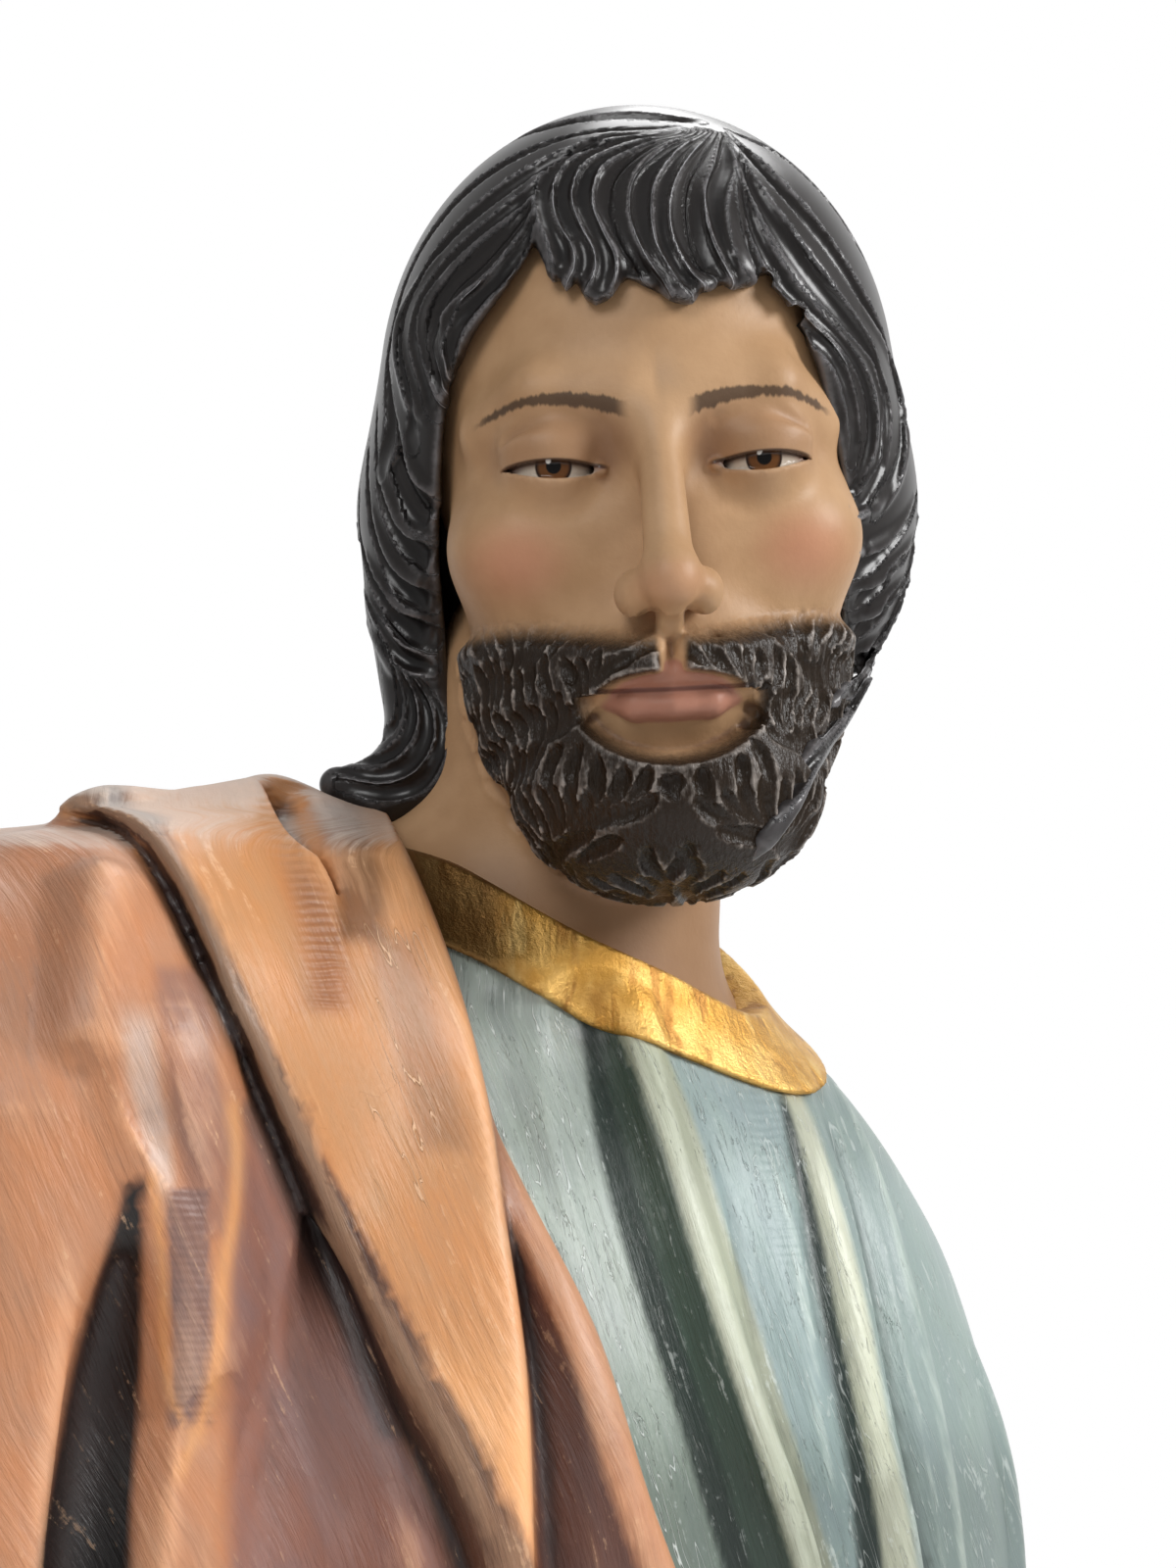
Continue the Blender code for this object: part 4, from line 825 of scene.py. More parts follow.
def in_order(field, p):
    """The field at points in any order, worked out in order of x so that each stroke meets a short run of them."""
    order = np.argsort(p[0], kind="stable")
    values = np.empty(len(order), F32)
    values[order] = field([c[order] for c in p])
    return values


# Surface of the field
def in_parts(field, p):
    """The field at many points, in parts that are worked out side by side."""
    cuts = np.linspace(0, len(p[0]), max(2, len(p[0]) // 120_000 + 1)).astype(int)
    with ThreadPoolExecutor(4) as pool:
        return np.concatenate(list(pool.map(lambda a, b: field([c[a:b] for c in p]), cuts[:-1], cuts[1:])))


def sample(field, low, high, step, block, margin):
    """Field values on a grid, worked out only in the blocks that the surface may cross."""
    n = [math.ceil((high[i] - low[i]) / step / block) for i in range(3)]
    axes = [low[i] + step * np.arange(n[i] * block + 1, dtype=F32) for i in range(3)]
    rough_axes = [a[::block] for a in axes]
    g = np.meshgrid(*rough_axes, indexing="ij")
    rough = in_parts(field, [a.ravel() for a in g]).reshape(g[0].shape)
    near = np.abs(rough) < block * step * math.sqrt(3) / 2 * 1.3 + margin
    cell = np.zeros(n, bool)
    for corner in np.ndindex(2, 2, 2):
        cell |= near[tuple(slice(c, c + k) for c, k in zip(corner, n))]
    nearest = [np.minimum((np.arange(len(a)) + block // 2) // block, len(r) - 1) for a, r in zip(axes, rough_axes)]
    out = rough[np.ix_(*nearest)].astype(F32)
    want = np.zeros(out.shape, bool)
    want[:-1, :-1, :-1] = np.repeat(np.repeat(np.repeat(cell, block, 0), block, 1), block, 2)
    for axis in range(3):
        ahead, behind = [slice(None)] * 3, [slice(None)] * 3
        ahead[axis], behind[axis] = slice(1, None), slice(None, -1)
        grown = want.copy()
        grown[tuple(ahead)] |= want[tuple(behind)]
        want = grown
    i, j, k = np.nonzero(want)
    out[i, j, k] = in_parts(field, [axes[0][i], axes[1][j], axes[2][k]])
    return out, axes


def unpinched(values, filler=-0.2):
    """The grid with wood added wherever the surface would touch itself along an edge or at a point."""
    for _ in range(30):
        inside = values < 0
        flips = 0
        for u, v in ((0, 1), (0, 2), (1, 2)):
            def part(du, dv):
                cut_out = [slice(None)] * 3
                cut_out[u] = slice(du, inside.shape[u] - 1 + du)
                cut_out[v] = slice(dv, inside.shape[v] - 1 + dv)
                return tuple(cut_out)
            a, b, c, d = inside[part(0, 0)], inside[part(1, 0)], inside[part(0, 1)], inside[part(1, 1)]
            for bad, place in ((a & d & ~b & ~c, part(1, 0)), (b & c & ~a & ~d, part(0, 0))):
                values[place][bad] = filler
                flips += int(bad.sum())
            inside = values < 0
        shape = [k - 1 for k in inside.shape]

        def corner(c):
            return tuple(slice(i, i + k) for i, k in zip(c, shape))
        count = sum(inside[corner(c)].astype(np.int8) for c in np.ndindex(2, 2, 2))
        for c in ((0, 0, 0), (0, 0, 1), (0, 1, 0), (0, 1, 1)):
            far = tuple(1 - i for i in c)
            near_in, far_in = inside[corner(c)], inside[corner(far)]
            other = (1 - c[0], c[1], c[2])
            for bad, place in ((near_in & far_in & (count == 2), corner(other)),
                               (~near_in & ~far_in & (count == 6), corner(c))):
                values[place][bad] = filler
                flips += int(bad.sum())
        if not flips:
            break
    return values


def nets(values, axes):
    """One point in each grid cell that the surface crosses, and one quad round each grid edge that it cuts."""
    inside = values < 0
    shape = [d - 1 for d in inside.shape]
    count = np.zeros(shape, np.int8)
    for corner in np.ndindex(2, 2, 2):
        count += inside[tuple(slice(c, c + k) for c, k in zip(corner, shape))].astype(np.int8)
    at = np.array(np.nonzero((count > 0) & (count < 8)))
    index = np.full(shape, -1, np.int64)
    index[tuple(at)] = np.arange(at.shape[1])
    total, hits = np.zeros((3, at.shape[1])), np.zeros(at.shape[1])
    for corner in np.ndindex(2, 2, 2):
        for axis in range(3):
            if corner[axis]:
                continue
            other = [c + (i == axis) for i, c in enumerate(corner)]
            a = values[tuple(at[i] + corner[i] for i in range(3))].astype(float)
            b = values[tuple(at[i] + other[i] for i in range(3))].astype(float)
            crossed = (a < 0) != (b < 0)
            t = np.where(crossed, a / np.where(crossed, a - b, 1), 0)
            for i in range(3):
                total[i] += crossed * (t if i == axis else corner[i])
            hits += crossed
    points = np.stack([axes[i][0] + (at[i] + total[i] / hits) * (axes[i][1] - axes[i][0]) for i in range(3)], 1)
    quads = []
    for axis in range(3):
        u, v = [i for i in range(3) if i != axis]
        first, second = [slice(1, -1)] * 3, [slice(1, -1)] * 3
        first[axis], second[axis] = slice(None, -1), slice(1, None)
        a, b = inside[tuple(first)], inside[tuple(second)]
        for inward in (True, False):
            edge = list(np.nonzero((a != b) & (a == inward)))
            edge[u], edge[v] = edge[u] + 1, edge[v] + 1
            ring = []
            for du, dv in ((0, 0), (1, 0), (1, 1), (0, 1)):
                q = list(edge)
                q[u], q[v] = q[u] - du, q[v] - dv
                ring.append(index[tuple(q)])
            quads.append(np.stack(ring if (axis == 1) != inward else ring[::-1], 1))
    return points, np.concatenate(quads)


def largest(points, quads):
    """The mesh's largest connected part."""
    a, b = np.concatenate([quads[:, [0, 1]], quads[:, [1, 2]], quads[:, [2, 3]]]).T
    label = np.arange(len(points))
    while True:
        low = np.minimum(label[a], label[b])
        fresh = label.copy()
        np.minimum.at(fresh, a, low)
        np.minimum.at(fresh, b, low)
        fresh = fresh[fresh]
        if (fresh == label).all():
            break
        label = fresh
    keep = label == np.bincount(label).argmax()
    index = np.cumsum(keep) - 1
    return points[keep], index[quads[keep[quads[:, 0]]]]


def worked_out(field, points):
    return in_order(lambda q: in_parts(field, q), columns(points)).astype(float)


def settle(field, points, rounds=2, nudge=0.4, most=1.2):
    """Moves points along the field's slope until they lie on its surface."""
    points = points.copy()
    for _ in range(rounds):
        f = worked_out(field, points)
        slope = np.empty_like(points)
        for axis in range(3):
            q = points.copy()
            q[:, axis] += nudge
            slope[:, axis] = (worked_out(field, q) - f) / nudge
        move = -(f / np.maximum((slope ** 2).sum(1), 0.2))[:, None] * slope
        move *= np.minimum(1, most / np.maximum(np.linalg.norm(move, axis=1), 1e-9))[:, None]
        points += move
    return points


def triangles_of(points, quads):
    """Each quad as two triangles across its shorter diagonal, unless another quad has that diagonal too."""
    def length(a, b):
        return np.linalg.norm(points[quads[:, a]] - points[quads[:, b]], axis=1)

    def key(a, b):
        return np.minimum(quads[:, a], quads[:, b]) * len(points) + np.maximum(quads[:, a], quads[:, b])
    sides = np.concatenate([key(0, 1), key(1, 2), key(2, 3), key(3, 0)])
    first = length(0, 2) <= length(1, 3)
    for _ in range(4):
        chosen = np.where(first, key(0, 2), key(1, 3))
        values, index, counts = np.unique(chosen, return_inverse=True, return_counts=True)
        clash = (counts[index] > 1) | np.isin(chosen, sides)
        if not clash.any():
            break
        first = first ^ clash
    a, b, c, d = quads.T
    one = np.where(first[:, None], np.stack([a, b, c], 1), np.stack([a, b, d], 1))
    two = np.where(first[:, None], np.stack([a, c, d], 1), np.stack([b, c, d], 1))
    return np.concatenate([one, two])


# Meshes and what their paint is worked out from
def carve(name, field, low, high, margin, in_head=False):
    """The mesh of a field between two corners, open where they cut it, and its points in the field's frame."""
    step, most = FINENESS[name]
    values, axes = sample(field, low, high, step, 4, margin)
    points, quads = largest(*nets(unpinched(values), axes))
    points = settle(field, points, 2, 0.3, step * 0.5)
    if not in_head:
        points[:, 2] = np.where(points[:, 2] < step * 0.6, 0, points[:, 2])
    mesh = bpy.data.meshes.new(name)
    faces = triangles_of(points, quads)
    mesh.vertices.add(len(points))
    mesh.vertices.foreach_set("co", points.astype(np.float32).ravel())
    mesh.loops.add(faces.size)
    mesh.loops.foreach_set("vertex_index", faces.ravel().astype(np.int32))
    mesh.polygons.add(len(faces))
    mesh.polygons.foreach_set("loop_start", np.arange(0, faces.size, 3, dtype=np.int32))
    mesh.update(calc_edges=True)
    piece = bpy.data.objects.new(name, mesh)
    bpy.context.scene.collection.objects.link(piece)
    if len(faces) > most:
        thin = piece.modifiers.new("thin", "DECIMATE")
        thin.ratio = most / len(faces)
        bpy.context.view_layer.update()
        mesh = bpy.data.meshes.new_from_object(piece.evaluated_get(bpy.context.evaluated_depsgraph_get()))
        piece.modifiers.clear()
        piece.data = mesh
    mesh.polygons.foreach_set("use_smooth", np.ones(len(mesh.polygons), bool))
    return piece, places(mesh)


def places(mesh):
    co = np.empty(len(mesh.vertices) * 3, np.float32)
    mesh.vertices.foreach_get("co", co)
    return co.reshape(-1, 3).astype(float)


def relief(mesh, points, rounds):
    """How far each point stands out of, or lies below, the surface round it, in mm. More rounds look further."""
    edges = np.empty(len(mesh.edges) * 2, np.int32)
    mesh.edges.foreach_get("vertices", edges)
    a, b = edges.reshape(-1, 2).T
    count = np.bincount(a, minlength=len(points)) + np.bincount(b, minlength=len(points))
    smooth = points.copy()
    for _ in range(rounds):
        for axis in range(3):
            s = smooth[:, axis]
            total = np.bincount(a, s[b], len(points)) + np.bincount(b, s[a], len(points))
            smooth[:, axis] = 0.4 * s + 0.6 * total / np.maximum(count, 1)
    normal = np.empty(len(points) * 3, np.float32)
    mesh.vertex_normals.foreach_get("vector", normal)
    return ((points - smooth) * normal.reshape(-1, 3)).sum(1)


def note(mesh, name, values):
    """Stores a number or a colour for each point."""
    kind = "FLOAT" if values.ndim == 1 else "FLOAT_VECTOR"
    data = mesh.attributes.new(name, kind, "POINT").data
    data.foreach_set("value" if values.ndim == 1 else "vector", values.astype(np.float32).ravel())


def settle_in(piece, in_head=False):
    """Puts a mesh from its own frame, in mm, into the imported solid's, in metres."""
    place = Matrix.Translation([c / 1000 for c in CENTRE]) @ Matrix.Scale(0.001, 4)
    if in_head:
        place = place @ Matrix.Translation(HEAD_PLACE) @ Matrix(HEAD_AXES.tolist()).to_4x4()
    piece.data.transform(place)
    piece.data.update()
    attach(piece, "root")
    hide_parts("bust")


def strand_of(points, strands, families):
    """Which gouge each point lies in, as a number that is whole on the ridges between, how far along it, and its
    family's number."""
    order = np.argsort(points[:, 0], kind="stable")
    p = [points[order, i].astype(F32) for i in range(3)]
    out = np.zeros((len(points), 3))
    for family in range(len(families)):
        cover = np.zeros(len(points), F32)
        channels(p, families[family][0], cover)
        weight = np.full(len(points), 1e-6)
        across, along = np.zeros(len(points)), np.zeros(len(points))
        for course, own, n in strands:
            if own == family:
                who, off, at = near_stroke(p, course, 7.0)
                w = np.exp(-(off / 1.8) ** 2)
                weight[who] += w
                across[who] += w * n
                along[who] += w * at
        mine = (cover > 0.5) & (weight > 1e-4)
        out[order[mine]] = np.stack([across / weight, along / weight, np.full(len(points), family)], 1)[mine]
    return out


# Shading: sums on sockets
class Sum:
    """A number in a material's node tree, which can be added to, scaled and compared."""

    def __init__(self, tree, socket):
        self.tree, self.socket = tree, socket

    def do(self, operation, *others):
        node = self.tree.nodes.new("ShaderNodeMath")
        node.operation = operation
        for slot, value in zip(node.inputs, (self,) + others):
            put(self.tree, slot, value)
        return Sum(self.tree, node.outputs[0])

    def __add__(self, other):
        return self.do("ADD", other)

    def __sub__(self, other):
        return self.do("SUBTRACT", other)

    def __mul__(self, other):
        return self.do("MULTIPLY", other)

    __radd__, __rmul__ = __add__, __mul__

    def abs(self):
        return self.do("ABSOLUTE")

    def most(self, other):
        return self.do("MAXIMUM", other)

    def root(self):
        return self.do("SQRT")

    def step(self, low, high):
        """0 below low, 1 above high, smooth between; falling where low is the larger."""
        node = self.tree.nodes.new("ShaderNodeMapRange")
        node.interpolation_type = "SMOOTHSTEP"
        flip = low > high
        put(self.tree, node.inputs["Value"], self)
        node.inputs["From Min"].default_value = min(low, high)
        node.inputs["From Max"].default_value = max(low, high)
        node.inputs["To Min"].default_value = 1.0 if flip else 0.0
        node.inputs["To Max"].default_value = 0.0 if flip else 1.0
        return Sum(self.tree, node.outputs["Result"])


def put(tree, slot, value):
    if isinstance(value, Sum):
        tree.links.new(value.socket, slot)
    elif isinstance(value, bpy.types.NodeSocket):
        tree.links.new(value, slot)
    else:
        slot.default_value = value


class Paint:
    """A material in the making."""

    def __init__(self, name, roughness, coat=0.0):
        self.material = bpy.data.materials.new(name)
        self.material.use_nodes = True
        self.tree = self.material.node_tree
        self.shader = self.tree.nodes["Principled BSDF"]
        self.shader.inputs["Roughness"].default_value = roughness
        self.shader.inputs["Coat Weight"].default_value = coat
        self.shader.inputs["Coat Roughness"].default_value = 0.2

    def number(self, name):
        node = self.tree.nodes.new("ShaderNodeAttribute")
        node.attribute_name = name
        return Sum(self.tree, node.outputs["Fac"])

    def vector(self, name):
        node = self.tree.nodes.new("ShaderNodeAttribute")
        node.attribute_name = name
        return node.outputs["Vector"]

    def where(self):
        """Place in the object, in metres."""
        return self.tree.nodes.new("ShaderNodeTexCoord").outputs["Object"]

    def parts(self, vector):
        node = self.tree.nodes.new("ShaderNodeSeparateXYZ")
        self.tree.links.new(vector, node.inputs[0])
        return [Sum(self.tree, s) for s in node.outputs]

    def stretched(self, vector, scale, turn=(0, 0, 0)):
        node = self.tree.nodes.new("ShaderNodeMapping")
        self.tree.links.new(vector, node.inputs["Vector"])
        node.inputs["Scale"].default_value = scale
        node.inputs["Rotation"].default_value = [math.radians(a) for a in turn]
        return node.outputs["Vector"]

    def noise(self, vector, scale, detail=3.0, rough=0.5, bend=0.0):
        node = self.tree.nodes.new("ShaderNodeTexNoise")
        self.tree.links.new(vector, node.inputs["Vector"])
        for key, value in (("Scale", scale), ("Detail", detail), ("Roughness", rough), ("Distortion", bend)):
            node.inputs[key].default_value = value
        return Sum(self.tree, node.outputs["Fac"])

    def mix(self, share, a, b, mode="MIX"):
        node = self.tree.nodes.new("ShaderNodeMix")
        node.data_type = "RGBA"
        node.blend_type = mode
        put(self.tree, node.inputs["Factor"], share)
        for slot, value in ((node.inputs[6], a), (node.inputs[7], b)):
            put(self.tree, slot, (*value, 1.0) if isinstance(value, tuple) else value)
        return node.outputs[2]

    def bump(self, height, distance, strength=1.0, over=None):
        node = self.tree.nodes.new("ShaderNodeBump")
        put(self.tree, node.inputs["Height"], height)
        node.inputs["Distance"].default_value = distance
        node.inputs["Strength"].default_value = strength
        if over is not None:
            self.tree.links.new(over, node.inputs["Normal"])
        return node.outputs["Normal"]

    def cross(self, cells):
        """Height within each cell of a plane that leans as the cell's colour says."""
        lean, apart, height = [self.tree.nodes.new("ShaderNodeVectorMath") for _ in range(3)]
        lean.operation = apart.operation = "SUBTRACT"
        height.operation = "DOT_PRODUCT"
        self.tree.links.new(cells.outputs["Color"], lean.inputs[0])
        lean.inputs[1].default_value = (0.5, 0.5, 0.5)
        self.tree.links.new(cells.inputs["Vector"].links[0].from_socket, apart.inputs[0])
        self.tree.links.new(cells.outputs["Position"], apart.inputs[1])
        self.tree.links.new(lean.outputs[0], height.inputs[0])
        self.tree.links.new(apart.outputs[0], height.inputs[1])
        return Sum(self.tree, height.outputs["Value"])

    def set(self, key, value):
        put(self.tree, self.shader.inputs[key], value)


def hair_paint():
    """Near-black paint with painted shade darkest in the cuts, brushed pale along the ridges, and painted highlights on
    their crests.
    """
    paint = Paint("hair_paint", 0.3)
    paint.shader.inputs["Specular IOR Level"].default_value = 0.42
    strand = paint.vector("strand")
    number, along, _ = paint.parts(strand)
    streak = paint.noise(paint.stretched(strand, (5, 2.0, 7)), 1.0, 3, 0.6)
    fine = paint.noise(paint.stretched(strand, (17, 2.6, 7)), 1.0, 2, 0.6)
    edge = (number.do("FRACT") * 2.0 - 1.0).abs()
    crest = (edge + (streak - 0.5) * 0.25).step(0.70, 0.98) * along.step(0.0, 0.02)
    high = paint.number("relief")
    ridge = (high + (streak - 0.5) * 1.2).step(0.1, 0.9)
    # painted shade, near black, in the cuts
    low = (high + (fine - 0.5) * 0.8).step(0.1, -0.7)
    colour = paint.mix(ridge * 0.8, (0.016, 0.013, 0.012), (0.20, 0.19, 0.195))
    colour = paint.mix(low, colour, (0.004, 0.003, 0.003))
    # the crests, brushed pale and given a painted highlight
    light = (high + (fine - 0.5) * 1.6).step(-0.1, 0.7) * crest
    colour = paint.mix(light * 0.9, colour, (0.62, 0.62, 0.64))
    paint.set("Base Color", colour)
    paint.set("Normal", paint.bump(edge * edge * 1.3 + fine * 0.35 + streak * 0.5, 0.0011, 0.8))
    return paint.material


# Soft spots of colour, mirrored: middle and half sizes, where they fade out and are full, share and colour
SKIN_SPOTS = (
    ((44, -30, 22, 17), (1.0, 0.1), 0.45, (0.58, 0.22, 0.14)),  # cheek
    ((0, -42, 16, 9), (1.0, 0.2), 0.25, (0.56, 0.24, 0.15)),  # tip of the nose
    # the eye socket's spot and its inner corner's are painted shade, as the statue's own airbrushed shading is
    ((30, 3, 27, 15), (1.05, 0.35), 0.5, (0.27, 0.135, 0.07)),  # eye socket
    ((15, 2, 10, 15), (1.0, 0.2), 0.45, (0.20, 0.10, 0.055)),  # its inner corner
)


def skin_paint():
    """Flesh with painted brows, eyes and lips, painted shade in its hollows, creases and eye sockets and on the neck
    under the head, painted highlights on its bulges, and the beard's dark paint sprayed softly over its upper edge.
    """
    paint = Paint("skin_paint", 0.46)
    paint.shader.inputs["Specular IOR Level"].default_value = 0.24
    X, Y, Z = paint.parts(paint.vector("head"))
    x = X.abs()
    place = paint.vector("head")
    mottle = paint.noise(place, 0.035, 4, 0.55)
    grain = paint.noise(place, 0.5, 3, 0.6)
    skin = paint.mix(mottle.step(0.3, 0.7), (0.41, 0.24, 0.122), (0.50, 0.308, 0.168))

    def spot(cx, cz, rx, rz):
        return (((x - cx) * (1 / rx)).do("POWER", 2.0) + ((Z - cz) * (1 / rz)).do("POWER", 2.0)).root()

    front = Y.step(-30, -60)
    for place_and_size, edge, share, colour in SKIN_SPOTS:
        skin = paint.mix(spot(*place_and_size).step(*edge) * front * share, skin, colour)
    broad = paint.number("broad")
    # painted shade in the broad hollows and the fine creases, painted highlights on the broad bulges, and painted
    # shadow on the neck under the head
    skin = paint.mix((broad + (mottle - 0.5) * 0.8).step(-0.4, -2.6) * 0.55, skin, (0.20, 0.10, 0.055))
    skin = paint.mix(paint.number("relief").step(-0.12, -0.8) * 0.6, skin, (0.13, 0.055, 0.035))
    skin = paint.mix(broad.step(0.6, 2.6) * 0.3, skin, (0.80, 0.56, 0.38))
    skin = paint.mix(Z.step(-112, -132) * 0.5, skin, (0.20, 0.10, 0.055))
    # lips
    lip = (paint.number("lip") + (grain - 0.5) * 0.5).step(1.3, 0.3)
    skin = paint.mix(lip * 0.8, skin, (0.36, 0.15, 0.11))
    part = (Z + 71.6 - x * 0.02).abs().step(1.0, 0.3) * x.step(26, 22) * front
    skin = paint.mix(part * 0.7, skin, (0.09, 0.03, 0.025))
    # brows, of fine hairs
    bow = (x - 33.0) * (1 / 24.0)
    line = Z + bow * bow * 5.0 - 16.5
    hairs = paint.noise(paint.stretched(place, (0.55, 0.1, 0.12), (0, 55, 0)), 1.0, 2, 0.6)
    thick = (x - 30.0) * (-0.04) + 1.7
    brow = ((line.abs() - thick) + (hairs - 0.5) * 3.0).step(0.6, -0.6) * x.step(8, 13) * x.step(56, 50) * front
    skin = paint.mix(brow * 0.85, skin, (0.05, 0.03, 0.02))
    # eyes: the opening between the lids, its white with painted shade under the upper lid and in the corners, the iris
    # with its pupil and a small painted highlight, a glint
    u = (x - EYE[0]) * (1 / EYE_HALF)
    arch = u * u * -1.0 + 1.0
    tilt = u * LID_SLANT
    upper = arch * (LID_UPPER + LID_ENDS) - LID_ENDS + tilt
    lower = arch * (LID_LOWER + LID_ENDS) - LID_ENDS + tilt
    gap = (Z - upper).most(lower - Z)
    inside = gap.step(0.45, -0.25) * front
    ex, ez = x - 31.3, Z + 3.4
    off = (ex * ex + ez * ez).root()
    white = paint.mix((Z - upper).step(-2.6, 0.0), (0.50, 0.42, 0.34), (0.16, 0.10, 0.07))
    white = paint.mix(u.abs().step(0.55, 1.0) * 0.6, white, (0.28, 0.13, 0.09))
    iris = paint.mix(off.step(4.0, 5.2), (0.13, 0.05, 0.015), (0.018, 0.008, 0.005))
    iris = paint.mix(off.step(2.5, 2.0), iris, (0.004, 0.003, 0.003))
    eye = paint.mix(off.step(5.7, 5.2), white, iris)
    skin = paint.mix(inside, skin, eye)
    lash = (Z - upper).abs().step(1.0, 0.3) * u.abs().step(1.08, 0.9) * front
    skin = paint.mix(lash * 0.8, skin, (0.03, 0.015, 0.010))
    side = X.do("SIGN") * 31.3
    gx, gz = X - side + 1.5, Z + 1.9
    glint = (gx * gx + gz * gz).root().step(0.95, 0.55) * inside
    skin = paint.mix(glint, skin, (0.85, 0.85, 0.82))
    # beard: near-black, paler on the ridges, partly dry-brushed and partly painted highlight, and darkest in the cuts
    # as painted shade
    amount = paint.number("beard") + (grain - 0.5) * 0.2
    covered = amount.step(0.05, 0.8)
    high = paint.number("relief")
    streak = paint.noise(paint.stretched(place, (0.5, 0.5, 0.16)), 1.0, 3, 0.6)
    dark = paint.mix((high + (streak - 0.5) * 0.6).step(0.2, 0.9) * 0.9, (0.006, 0.0045, 0.004), (0.38, 0.34, 0.31))
    dark = paint.mix(high.step(0.15, -0.35), dark, (0.002, 0.0015, 0.001))
    paint.set("Base Color", paint.mix(covered * 0.96, skin, dark))
    paint.set("Roughness", covered * (-0.12) + inside * (-0.3) + 0.46)
    paint.set("Normal", paint.bump(streak * covered * 2.0 + grain * 0.2, 0.0008, 0.7))
    return paint.material


def gilt_paint():
    paint = Paint("gilding", 0.36)
    place = paint.where()
    grain = paint.noise(place, 650, 4, 0.7)
    wear_and_shade_noise = paint.noise(place, 60, 4, 0.6)
    high = paint.number("broad")
    colour = paint.mix(wear_and_shade_noise.step(0.35, 0.7), (0.62, 0.32, 0.06), (0.86, 0.53, 0.16))
    # painted shade in the collar's broad hollows
    colour = paint.mix((high + (wear_and_shade_noise - 0.5) * 1.6).step(0.1, -1.4) * 0.75, colour, (0.34, 0.15, 0.035))
    streaks = paint.noise(paint.stretched(place, (95, 95, 9), (6, -10, 0)), 1.0, 3, 0.55)
    colour = paint.mix(streaks.step(0.46, 0.36) * 0.75, colour, (0.36, 0.15, 0.03))
    colour = paint.mix(streaks.step(0.57, 0.68) * 0.6, colour, (0.95, 0.66, 0.24))
    colour = paint.mix(grain.step(0.58, 0.75) * 0.5, colour, (0.42, 0.20, 0.05))
    # painted shadow over the collar's left end
    colour = paint.mix(paint.number("collar_painted_shadow") * 0.85, colour, (0.10, 0.045, 0.014))
    paint.set("Base Color", colour)
    paint.set("Metallic", 0.75)
    paint.set("Roughness", grain * 0.35 + 0.2)
    paint.set("Normal", paint.bump(grain + streaks * 3.0, 0.0007, 0.8))
    return paint.material


